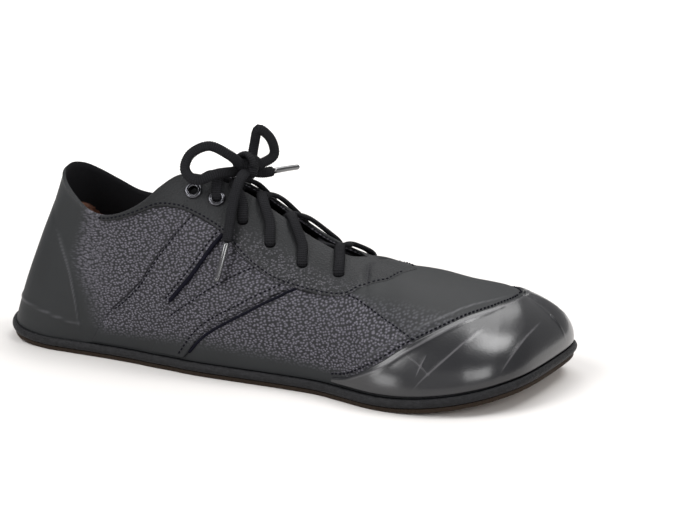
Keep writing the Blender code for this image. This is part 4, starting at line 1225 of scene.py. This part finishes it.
# The bow, in millimetres in the last's frame, as the CAD's cords lie
Bow = namedtuple("Bow", "name far_end squeezed_from places")
KNOT_MIDDLE = np.array([126.2, 0.0, 93.7]) * MM
BOW = [
    Bow("lace_loop_outer", "object", None, [
        (125.6, -3.2, 94.6),
        (124.8, -6.5, 96.2), (122.2, -11.0, 100.4), (113.4, -14.6, 104.8), (105.4, -18.4, 101.0),
        (104.2, -22.2, 94.0), (110.6, -22.8, 89.6), (118.4, -17.2, 92.2), (122.2, -6.0, 91.6),
        (124.6, -2.6, 92.0),
    ]),
    Bow("lace_loop_inner", "object", None, [
        (125.6, 3.6, 94.4), (125.0, 7.2, 96.0), (124.8, 10.2, 102.0), (127.0, 10.6, 109.6),
        (132.6, 12.4, 105.0), (134.4, 12.0, 97.4), (130.2, 6.2, 93.8), (127.8, 2.6, 92.8),
    ]),
    Bow("lace_end_inner", "fitting", 16.5 * MM, [
        (126.2, 0.0, 92.4), (127.3, 5.5, 89.8), (129.6, 10.4, 88.6), (132.0, 15.4, 88.6), (134.8, 22.0, 88.6),
        (137.4, 30.6, 88.1),
    ]),
    Bow("lace_end_outer", "fitting", None, [
        (126.9, -3.0, 92.6), (127.9, -5.6, 91.4), (128.6, -10.6, 90.8), (128.9, -15.2, 88.0),
        (129.0, -19.6, 82.4), (129.6, -24.4, 75.6), (130.7, -29.4, 68.4), (131.5, -32.9, 63.6),
    ]),
]
KNOT_CORE = [(122.8, -5.4, 93.8), (126.0, 0.0, 93.4), (129.2, 5.4, 93.6)]
KNOT_BULGE = [(130.4, -4.2, 89.4), (130.2, -1.6, 94.4), (129.0, 3.2, 97.4)]
AGLETS = {
    "lace_end_inner": [(132.0, 15.4, 88.6), (134.8, 22.0, 88.6), (138.0, 32.6, 88.0)],
    "lace_end_outer": [(131.5, -33.0, 63.4), (131.0, -36.6, 56.6), (130.0, -41.0, 46.4)],
}


def steps_of(places):
    return [Step(np.array(place) * MM, np.array(TO_CAMERA)) for place in places]


def make_knot():
    """The bow's knot: an upright wrap round the two laces, with a bulge of lace on each side."""
    steps = []
    for share in np.linspace(0, 1, 9):
        angle = 2 * math.pi * share
        out = np.array([4.9 * MM * math.cos(angle), 0.0, 6.4 * MM * math.sin(angle)])
        sideways = np.array([0.0, (1.6 * share - 3.2) * MM, 0.0])
        steps.append(Step(KNOT_MIDDLE + out + sideways, unit(out)))
    wrap = tube(steps, LACE_WIDTH, LACE_THICKNESS)
    core = tube(steps_of(KNOT_CORE), 9.6 * MM, 8.6 * MM)
    bulge = tube(steps_of(KNOT_BULGE), 5.0 * MM, 4.4 * MM)
    mesh = lace_mesh("lace_knot", [wrap, core, bulge], LACE)
    return kept("lace_knot_tied", mesh, ["lace_knot"])


def make_bow():
    knot = make_knot()
    for bow in BOW:
        part = tube(steps_of(bow.places), BOW_LACE_WIDTH, BOW_LACE_THICKNESS, squeezed_from=bow.squeezed_from)
        piece = woven(bow.name, [part])
        with_pieces = [knot] if bow.far_end == "object" else [make_aglet(bow.name)]


def make_aglet(end):
    """The lace's plastic tip, rolled round its end."""
    part = tube(steps_of(AGLETS[end]), AGLET_DIAMETER, AGLET_DIAMETER, rib=0.0, square=1.0, taper=0.12)
    name = end.replace("end", "aglet")
    return kept(f"{name}_rolled", lace_mesh(name, [part], PLASTIC), [name])


def make_laces():
    last = len(HOLES) - 1
    both = SIDES.values()
    laced = {"lace_bar": [bar_route()]}
    laced["lace_crossing_1"] = [hidden_crossing_route(side, last) for side in both]
    for order, number in enumerate(range(last - 1, EYELET_PAIRS - 1, -1)):
        laced[f"lace_crossing_{order + 2}"] = [crossing_route(side, number) for side in both]
    laced["lace_tie"] = [tie_route(side) for side in both]
    for name, routes in laced.items():
        woven(name, [tube(route, LACE_WIDTH, LACE_THICKNESS) for route in routes])


# Upper

UPPER_COLUMNS = 230
COUNTER_ROWS = (2.2, 4.6)  # the columns lie closer together here, for the counter's ridge
COUNTER_SHARES = (0.07, 0.27)
UPPER_STEPS = 54
BEAD_HEIGHT = 0.35 * MM  # the turned edge's soft bead below the top line
BEAD_FROM_RIM = 1.3 * MM
BEAD_WIDTH = 0.8 * MM
HEEL_LINING_EDGE = [Place(0.0, 0.75), Place(1.9, 0.745), Place(2.6, 0.685), Place(3.0, 0.5), Place(3.4, -0.2)]


def grain_at(row, climb):
    """1 where the leather is pebbled: the quarters, away from the heel, the sole and the vamp."""
    behind_vamp = np.interp(climb, [0.0, 0.40, 0.53, 0.65, 1.0], [19.2, 18.0, 16.7, 15.3, 15.0])
    before = smoothly((behind_vamp - row) / 0.12 + 0.5)
    heel = smoothly((row - np.interp(climb, [0.0, 0.3, 0.6, 1.0], [4.6, 4.2, 3.3, 3.4])) / 0.9)
    faint = 0.35 * smoothly((0.70 - climb) / 0.15)
    return (before + (1 - before) * faint) * heel * smoothly((climb - 0.05) / 0.10)


def ring_places(columns, steps):
    """Places all round the upper: up the outer side's rows and back down the inner side's."""
    rows = np.interp(np.linspace(0, 1, columns + 1), (0, *COUNTER_SHARES, 1), (0, *COUNTER_ROWS, LAST_ROW))
    side = np.concatenate([np.full(columns + 1, OUTER), np.full(columns - 1, INNER)])
    row = np.concatenate([rows, rows[-2:0:-1]])
    climb = np.linspace(0, 1, steps)
    return np.broadcast_arrays(side[:, None], row[:, None], climb[None, :])


def make_upper(cutter):
    side, row, climb = ring_places(UPPER_COLUMNS, UPPER_STEPS)
    base, out = bare_wall(side, row, climb), normal(side, row, climb)
    _, up = spans(base)
    free = opening(row[:, -1:]) > 0
    from_rim = np.where(free | (row[:, -1:] < 1), up[:, -1:] - up, np.inf)
    rim = 0.5 * WALL_THICKNESS
    rounding = rim * (1 - rounded(from_rim, rim))
    bead = BEAD_HEIGHT * np.exp(-(((from_rim - BEAD_FROM_RIM) / BEAD_WIDTH) ** 2))
    high = base + out * (relief(side, row, climb) - rounding + bead)[..., None]
    low = base - out * (WALL_THICKNESS - rounding)[..., None]
    points, faces = between(high, low, free[:, 0], ring=True)
    outside = len(climb) * (UPPER_STEPS - 1)
    bands = np.zeros(len(faces), np.int32)
    bands[outside:2 * outside] = 1
    lining_top = np.interp(row, *zip(*HEEL_LINING_EDGE))
    marks = {
        "grain": grain_at(row, climb),
        "soften": (row > 18.5) & (climb > 0.6),
        "heel_lining": smoothly((lining_top - climb) / 0.02),
        # wear paints the fine ridges light, partly as rubbing and partly as highlight, and the fine grooves
        # dark as shade.
        "wear": wear(side, row, climb, CREASES),
    }
    mesh = closed("upper", points, faces, [LEATHER, LINING], on_both(marks), bands, smoothing=8)
    kept("upper_leather", with_holes(mesh, cutter), ["upper"])


def with_holes(mesh, cutter):
    """The mesh with the lace holes cut through it."""
    piece = linked("blank", mesh)
    cut = piece.modifiers.new("lace holes", "BOOLEAN")
    cut.operation = "DIFFERENCE"
    cut.solver = "EXACT"
    cut.object = cutter
    holed = evaluated(piece)
    bpy.data.meshes.remove(mesh)
    holed.set_sharp_from_angle(angle=math.radians(45))
    return holed


def make_cutter():
    """Round pins through every lace hole."""
    edit = bmesh.new()
    for side in SIDES.values():
        for hole in HOLES:
            place = in_place(wall(side, hole.row, hole.climb))
            out = Vector(normal(side, hole.row, hole.climb))
            bmesh.ops.create_cone(
                edit, cap_ends=True, segments=28, radius1=HOLE_RADIUS, radius2=HOLE_RADIUS, depth=12 * MM,
                matrix=Matrix.Translation(Vector(place)) @ out.to_track_quat("Z", "Y").to_matrix().to_4x4(),
            )
    mesh = bpy.data.meshes.new("hole pins")
    edit.to_mesh(mesh)
    edit.free()
    cutter = linked("hole pins", mesh)
    cutter.hide_render = True
    return cutter


# Edges of the panels, as places on the wall
PANEL_FOOT = 0.012  # climb at which a panel that runs down to the sole ends
CAP_EDGE = [
    Place(14.6, 0.05), Place(15.3, 0.09), Place(16.7, 0.24), Place(18.0, 0.40), Place(18.9, 0.52),
    Place(20.4, 0.71), Place(21.5, 0.84), Place(22.4, 0.92), Place(23.0, 0.96),
]
FACING_EDGE = [
    Place(4.7, 0.955), Place(5.9, 0.95), Place(7.3, 0.91), Place(8.7, 0.80), Place(9.6, 0.74),
    Place(10.3, 0.70), Place(11.0, 0.65), Place(11.65, 0.56), Place(12.4, 0.51), Place(13.1, 0.515),
    Place(14.3, 0.58), Place(15.3, 0.66), Place(16.7, 0.81), Place(17.3, 0.92), Place(17.7, 1.00),
]


def edge_at(places, row):
    """Height of an edge at row numbers."""
    line = line_of(places, 240)
    return np.interp(row, line[:, 0], line[:, 1])


def round_the_front(from_row, to_row, columns, lower, upper, steps):
    """Places of a panel that goes from a row on the outer side round the front to the same row inside."""
    rows = from_row + (to_row - from_row) * clustered(columns)
    row = np.concatenate([rows, rows[-2::-1]])
    side = np.concatenate([np.full(columns, OUTER), np.full(columns - 1, INNER)])
    low, high = lower(row)[:, None], upper(row)[:, None]
    climb = low + (high - low) * clustered(steps, 0.5)[None, :]
    return np.broadcast_arrays(side[:, None], row[:, None], climb)


FACING_THINNED = 0.93  # share of its thickness that the facing loses over these rows
THINS_FROM, THINS_OVER = 13.7, 2.2


def facing_thickness(row):
    """The facing thins out towards its point on the vamp."""
    return PANEL_THICKNESS * (1 - FACING_THINNED * smoothly((np.asarray(row) - THINS_FROM) / THINS_OVER))


def make_facing(cutter):
    places = round_the_front(
        FACING_EDGE[0].row, FACING_EDGE[-1].row, 200, lambda row: edge_at(FACING_EDGE, row), np.ones_like, 40,
    )
    side, row, climb = places
    low = smoothly((0.80 - climb) / 0.18) * smoothly((row - 9.5) / 2.5) * smoothly((17.5 - row) / 1.5)
    marks = {"low": low, "wear": wear(side, row, climb, CREASES)}
    mesh = sheet_on_wall("facing", places, facing_thickness(row), 1.0 * MM, [FACING], marks, 0.1 * MM)
    kept("facing_leather", with_holes(mesh, cutter), ["facing"])


def make_cap():
    places = round_the_front(
        CAP_EDGE[0].row, LAST_ROW, 210,
        lambda row: np.full_like(row, PANEL_FOOT), lambda row: edge_at(CAP_EDGE, row), 64,
    )
    side, row, climb = places
    marks = {"soften": (row > 21.2) & (climb > 0.55), "wear": wear(side, row, climb, CAP_CREASES)}
    mesh = sheet_on_wall(
        "toe_cap", places, PANEL_THICKNESS, 1.3 * MM, [CAP], marks, 0.05 * MM, CAP_CREASES, smoothing=14,
    )
    kept("toe_cap_leather", mesh, ["toe_cap"])


# How far each strap's two edges stand up, and how much of the front one's height fades towards the sole
Strap = namedtuple("Strap", "name rear_height front_height fade rear_edge front_edge")
STRAPS = [
    Strap(
        "rear_strap", 0.45 * MM, 0.9 * MM, 1.0,
        [Place(9.65, 0.735), Place(8.4, 0.635), Place(7.1, 0.53), Place(5.4, 0.27), Place(4.6, PANEL_FOOT)],
        [Place(11.0, 0.655), Place(9.73, 0.435), Place(8.07, 0.28), Place(7.2, 0.14), Place(6.7, PANEL_FOOT)],
    ),
    Strap(
        "front_strap", 0.12 * MM, 1.0 * MM, 0.0,
        [Place(12.0, 0.54), Place(10.9, 0.41), Place(9.6, 0.30), Place(8.1, 0.22), Place(6.9, PANEL_FOOT)],
        [Place(13.35, 0.54), Place(12.5, 0.40), Place(11.4, 0.26), Place(9.9, 0.125), Place(8.9, PANEL_FOOT)],
    ),
]


def make_strap(strap, side, label):
    rear, front = line_of(strap.rear_edge, 90), line_of(strap.front_edge, 90)
    across = clustered(34, 0.5)[None, :]
    lines = rear[:, None] + (front - rear)[:, None] * across[..., None]
    row, climb = lines[..., 0], lines[..., 1]
    name = f"{strap.name}_{label}"
    down = np.linspace(0, 1, 90)[:, None]
    raised = strap.rear_height + (strap.front_height - strap.rear_height) * across
    raised = raised * (1 - strap.fade * across * smoothly((down - 0.48) / 0.14))
    places = np.full_like(row, side), row, climb
    marks = {"grain": grain_at(row, climb), "wear": wear(side, row, climb, CREASES)}
    mesh = sheet_on_wall(name, places, raised, 0.9 * MM, [LEATHER], marks, 0.03 * MM)
    kept(f"{name}_leather", mesh, [name])


# Tongue

def under_throat(row, across):
    """Points of the tongue's outer face. across runs from -1 at its outer edge to 1 at its inner one."""
    row, across = np.broadcast_arrays(row, across)
    open_share = np.minimum(1.0, opening(row) / FULL_OPENING)
    depth = -(WALL_THICKNESS + 2 * GAP + (CAD_LACE_THICKNESS + 2 * GAP) * open_share)
    inner = 1.0 - TONGUE_REACH + 0.5 * TONGUE_REACH * open_share
    reach = np.abs(across)
    below_side = np.maximum(0.0, reach - TONGUE_FLAT) / (1 - TONGUE_FLAT)
    beside = wall(np.where(across < 0, OUTER, INNER), row, inner - TONGUE_REACH * below_side, depth)
    left, right = wall(OUTER, row, inner, depth), wall(INNER, row, inner, depth)
    share = 0.5 + 0.5 * np.clip(across / TONGUE_FLAT, -1, 1)
    middle = left + (right - left) * share[..., None]
    middle[..., 2] += TONGUE_ARCH * open_share * (1 - np.clip(across / TONGUE_FLAT, -1, 1) ** 2)
    return np.where((reach > TONGUE_FLAT)[..., None], beside, middle)


def make_tongue():
    rows = np.linspace(ROW["tab corner"] + 0.35, ROW["vamp back"] + 0.4, 70)[:, None]
    across = np.linspace(-1, 1, 61)[None, :]
    body = under_throat(rows, across)
    lip = body[0] + unit(body[0] - body[1]) * TONGUE_OVERHANG
    bow = 0.8 * np.abs(across[0]) ** 4
    lip = body[0] + (lip - body[0]) * (1 - bow)[:, None]
    shares = np.linspace(1, 0.15, 6)[:, None, None]
    body = np.concatenate([body[0] + (lip - body[0]) * shares, body])
    along, over = spans(body)
    edge = np.minimum(np.minimum(along, along[-1:] - along), np.minimum(over, over[:, -1:] - over))
    inset = 0.5 * TONGUE_THICKNESS * (1 - rounded(edge, 1.2 * MM)) * 0.9
    high, low = body.copy(), body.copy()
    high[..., 2] -= inset
    low[..., 2] += inset - TONGUE_THICKNESS
    points, faces = between(high, low, np.ones(len(body)))
    mesh = closed("tongue", points, faces, [LEATHER], {"grain": np.zeros(len(points))})
    kept("tongue_leather", mesh, ["tongue"])


# Sole

Ring = namedtuple("Ring", "out height")


def arc(out, height, radius, start, end, count=5):
    """Part of a round edge, as rings, between two angles in degrees."""
    angles = np.radians(np.linspace(start, end, count))
    return [Ring(out + radius * math.cos(a), height + radius * math.sin(a)) for a in angles]


def plate(name, rings, columns, across, finish, dish=0.0):
    """A sole layer: its edge from the underside round to the top, closed by cross strips."""
    rows = np.linspace(0, LAST_ROW, columns)
    edges = []
    for side in SIDES.values():
        for ring in rings:
            x, y = feather(side, rows, ring.out)
            edges.append(np.stack([x, y, ring.height + sole_rise(x, y)], -1))
    points = [np.stack(edges, 1).reshape(-1, 3)]
    rim = [np.ones(len(points[0]))]
    count = len(rings)
    faces = []
    for i in range(columns - 1):
        for first in (0, count):
            for k in range(count - 1):
                a, b = i * 2 * count + first + k, (i + 1) * 2 * count + first + k
                faces.append((a, b, b + 1, a + 1))
    first = columns * 2 * count
    for k, ring, hollow in ((0, rings[0], 0.0), (count - 1, rings[-1], dish)):
        share = np.linspace(0, 1, across + 1)[None, :]
        left, right = edges[k][:, None], edges[count + k][:, None]
        plan = left + (right - left) * share[..., None]
        wide = np.linalg.norm(right - left, axis=-1) / BALL_WIDTH
        sag = hollow * 4 * share * (1 - share) * wide
        plan[..., 2] = ring.height + sole_rise(plan[..., 0], plan[..., 1]) - sag
        points.append(plan.reshape(-1, 3))
        rim.append(np.tile(np.ravel((share == 0) | (share == 1)), columns))
        faces += grid_faces(columns, across + 1, first)
        first += columns * (across + 1)
    return closed(name, np.concatenate(points), faces, [finish], {"rim": np.concatenate(rim)})


def make_soles():
    low, high = 0.0, OUTSOLE_THICKNESS
    edge = FLANGE - OUTSOLE_INSET
    round_edge = 0.4 * MM
    inside = edge - round_edge
    rings = [Ring(inside, low), *arc(inside, low + round_edge, round_edge, -60, 0, 3), Ring(edge, high)]
    kept("outsole_rubber", plate("outsole", rings, 260, 10, RUBBER), ["outsole"])

    low, high = OUTSOLE_THICKNESS + GAP, OUTSOLE_THICKNESS + GAP + MIDSOLE_THICKNESS
    radius = 1.9 * MM
    bead = 0.7 * MM
    rings = [
        Ring(0.0, low),
        *arc(FLANGE - radius, low + radius, radius, -90, 20, 9),
        *arc(FLANGE - radius + 0.25 * MM, high - bead - 0.25 * MM, bead + 0.5 * MM, 10, 130, 8),
        Ring(FLANGE - 2.7 * MM, high - 1.3 * MM),
        Ring(-1.0 * MM, high - 0.2 * MM),
    ]
    kept("midsole_edge", plate("midsole", rings, 320, 8, EDGE), ["midsole"])

    inset = -(WALL_THICKNESS + INSOLE_CLEARANCE)
    low, high = FEATHER_Z, FEATHER_Z + INSOLE_THICKNESS
    round_edge = 0.7 * MM
    turn = high - round_edge
    rings = [Ring(inset, low), Ring(inset, turn), *arc(inset - round_edge, turn, round_edge, 20, 90, 4)]
    kept("insole_leather", plate("insole", rings, 220, 24, INSOLE, 1.2 * MM), ["insole"])


# Metal eyelets

ROLL_FOOT = 0.15 * MM
ROLL_HEIGHT = 0.95 * MM
BARREL_LENGTH = 2.6 * MM


def make_eyelets():
    """A rolled steel ring on the facing, with its barrel down through the hole."""
    barrel, bore = HOLE_RADIUS - 0.1 * MM, HOLE_RADIUS - 0.6 * MM
    middle = 0.5 * (EYELET_FLANGE_RADIUS + bore)
    half = EYELET_FLANGE_RADIUS - middle
    angles = np.linspace(0, math.pi, 13)
    roll = [(middle + half * math.cos(a), ROLL_FOOT + ROLL_HEIGHT * math.sin(a)) for a in angles]
    profile = [(bore, -BARREL_LENGTH), (barrel, -BARREL_LENGTH), (barrel, 0.0), *roll]
    turns = 48
    for label, side in SIDES.items():
        for number in range(EYELET_PAIRS):
            row, climb = HOLES[number]
            centre = wall(side, row, climb, FACING_TOP)
            out = normal(side, row, climb)
            right = unit(np.cross(out, [0.0, 0.0, 1.0]))
            ahead = np.cross(out, right)
            points, faces = [], []
            for t in range(turns):
                angle = 2 * math.pi * t / turns
                away = right * math.cos(angle) + ahead * math.sin(angle)
                points += [centre + away * radius + out * height for radius, height in profile]
                for k in range(len(profile)):
                    j, here, there = (k + 1) % len(profile), t * len(profile), (t + 1) % turns * len(profile)
                    faces.append((here + k, there + k, there + j, here + j))
            name = f"eyelet_{label}_{number + 1}"
            kept(f"{name}_ring", closed(name, np.array(points), faces, [STEEL], sharp=50), [name])


# Stitching. A seam without a lift lies on the facing, which thins out forwards

STITCH = {"Pitch": 2.4 * MM, "Length": 1.6 * MM, "Width": 0.9 * MM}
STITCH_LIFT = 0.12 * MM
Seam = namedtuple("Seam", "name beside lift places")
SEAMS = [
    Seam("facing_edge", 1.5 * MM, None, FACING_EDGE[:-1]),
    Seam("rear_strap_rear", 1.2 * MM, 0.5 * MM, STRAPS[0].rear_edge[:-1]),
    Seam("rear_strap_front", -2.6 * MM, 0.85 * MM, STRAPS[0].front_edge[:-2]),
    Seam("front_strap_rear", 1.0 * MM, 0.2 * MM, STRAPS[1].rear_edge[:-1]),
    Seam("front_strap_front", -3.4 * MM, 0.9 * MM, STRAPS[1].front_edge),
    Seam("vamp_seam", 0.0, 0.05 * MM, [Place(15.2, 0.64), Place(16.72, 0.529), Place(18.1, 0.41)]),
    Seam("cap_seam", 1.7 * MM, 0.12 * MM, CAP_EDGE[:-1]),
]


def beside(side, line, distance):
    """A line of places moved sideways on the wall by a distance, to the left of its way on the outer side."""
    row, climb = line[:, 0], line[:, 1]
    by_row = (bare_wall(side, row + 0.02, climb) - bare_wall(side, row - 0.02, climb)) / 0.04
    by_climb = (bare_wall(side, row, climb + 0.01) - bare_wall(side, row, climb - 0.01)) / 0.02
    along = unit(np.gradient(bare_wall(side, row, climb), axis=0))
    across = np.cross(normal(side, row, climb), along) * -side
    moved = []
    for place, a, b, way in zip(line, by_row, by_climb, across):
        share = np.linalg.lstsq(np.stack([a, b], -1), way * distance, rcond=None)[0]
        moved.append(place + share)
    return np.array(moved)


def seam_lines(seam, side):
    line = beside(side, line_of(seam.places, 160), seam.beside)
    row, climb = line[:, 0], np.clip(line[:, 1], 0.02, 0.995)
    out = normal(side, row, climb)
    on_top = facing_thickness(row) if seam.lift is None else seam.lift
    lift = relief(side, row, climb) + on_top + STITCH_LIFT
    return in_place(bare_wall(side, row, climb) + out * lift[:, None]), out


def stitch_tree():
    """Lays a stitch every pitch along the mesh's edges, its flat side on the leather."""
    tree = bpy.data.node_groups.new("row of stitches", "GeometryNodeTree")
    face = tree.interface
    face.new_socket("Seams", in_out="INPUT", socket_type="NodeSocketGeometry")
    for name, value in STITCH.items():
        face.new_socket(name, in_out="INPUT", socket_type="NodeSocketFloat").default_value = value
    face.new_socket("Thread", in_out="INPUT", socket_type="NodeSocketMaterial")
    face.new_socket("Stitches", in_out="OUTPUT", socket_type="NodeSocketGeometry")

    def add(kind, links=(), **settings):
        made = tree.nodes.new(kind)
        for key, value in settings.items():
            setattr(made, key, value)
        for key, value in dict(links).items():
            if isinstance(value, bpy.types.NodeSocket):
                tree.links.new(value, made.inputs[key])
            else:
                made.inputs[key].default_value = value
        return made

    given = add("NodeGroupInput").outputs
    line = add("GeometryNodeMeshToCurve", {"Mesh": given["Seams"]})
    cut = {"Curve": line.outputs[0], "Length": given["Pitch"]}
    even = add("GeometryNodeResampleCurve", cut, mode="LENGTH")
    ball = add("GeometryNodeMeshUVSphere", {"Segments": 8, "Rings": 5, "Radius": 0.5})
    way = add("GeometryNodeInputTangent")
    out = add("GeometryNodeInputNamedAttribute", {"Name": "out"}, data_type="FLOAT_VECTOR")
    ahead = add("FunctionNodeAlignRotationToVector", {"Vector": way.outputs[0]}, axis="X")
    turned = add(
        "FunctionNodeAlignRotationToVector", {"Rotation": ahead.outputs[0], "Vector": out.outputs[0]},
        axis="Z", pivot_axis="X",
    )
    size = add("ShaderNodeCombineXYZ", {0: given["Length"], 1: given["Width"], 2: given["Width"]})
    laid = add("GeometryNodeInstanceOnPoints", {
        "Points": even.outputs[0], "Instance": ball.outputs[0],
        "Rotation": turned.outputs[0], "Scale": size.outputs[0],
    })
    real = add("GeometryNodeRealizeInstances", {0: laid.outputs[0]})
    smooth = add("GeometryNodeSetShadeSmooth", {0: real.outputs[0]})
    thread = add("GeometryNodeSetMaterial", {"Geometry": smooth.outputs[0], "Material": given["Thread"]})
    add("NodeGroupOutput", {0: thread.outputs[0]})
    return tree


def make_stitching():
    tree = stitch_tree()
    inputs = {item.name: item.identifier for item in tree.interface.items_tree if item.in_out == "INPUT"}
    for seam in SEAMS:
        points, outs, edges = [], [], []
        for side in SIDES.values():
            line, out = seam_lines(seam, side)
            first = sum(len(p) for p in points)
            edges += [(first + i, first + i + 1) for i in range(len(line) - 1)]
            points.append(line)
            outs.append(out)
        mesh = bpy.data.meshes.new(seam.name)
        mesh.from_pydata(np.concatenate(points).tolist(), edges, [])
        way = mesh.attributes.new("out", "FLOAT_VECTOR", "POINT")
        way.data.foreach_set("vector", np.ravel(np.concatenate(outs)).astype(np.float32))
        piece = linked(seam.name, mesh)
        sewing = piece.modifiers.new("stitches", "NODES")
        sewing.node_group = tree
        for name, value in {**STITCH, "Thread": THREAD}.items():
            sewing[inputs[name]] = value
        kept(f"stitches_{seam.name}", evaluated(piece))


# Dark edgings along the front edges of the straps: a blue-black piping cord on the rear one, and on the front
# one a dark cord that stands in for the shade in the deep crack there
Edging = namedtuple("Edging", "name width thickness lift places")
EDGINGS = [
    Edging("rear_piping", 2.1 * MM, 1.5 * MM, 0.75 * MM, [
        Place(11.0, 0.652), Place(9.73, 0.431), Place(8.07, 0.281),
    ]),
    # A dark cord, mostly sunk, that stands in for the shade in the crack along the front strap's front edge.
    Edging("front_piping", 1.3 * MM, 1.0 * MM, 0.15 * MM, [
        Place(13.45, 0.545), Place(12.57, 0.393), Place(11.47, 0.25), Place(9.97, 0.115), Place(9.15, 0.035),
    ]),
]


def make_piping():
    for edging in EDGINGS:
        for label, side in SIDES.items():
            line = line_of(edging.places, 40)
            steps = [on_side(side, *place, relief(side, *place) + edging.lift) for place in line]
            part = tube(steps, edging.width, edging.thickness, spacing=0.5 * MM, rib=0.0, square=1.0)
            name = f"{edging.name}_{label}"
            kept(name, lace_mesh(name, [part], PIPING))


def main():
    make_camera()
    make_bow()
    make_laces()
    make_light()
    make_floor()
    cutter = make_cutter()
    make_upper(cutter)
    make_facing(cutter)
    bpy.data.objects.remove(cutter)
    make_cap()
    for label, side in SIDES.items():
        for strap in STRAPS:
            make_strap(strap, side, label)
    make_tongue()
    make_soles()
    make_eyelets()
    make_piping()
    make_stitching()


main()
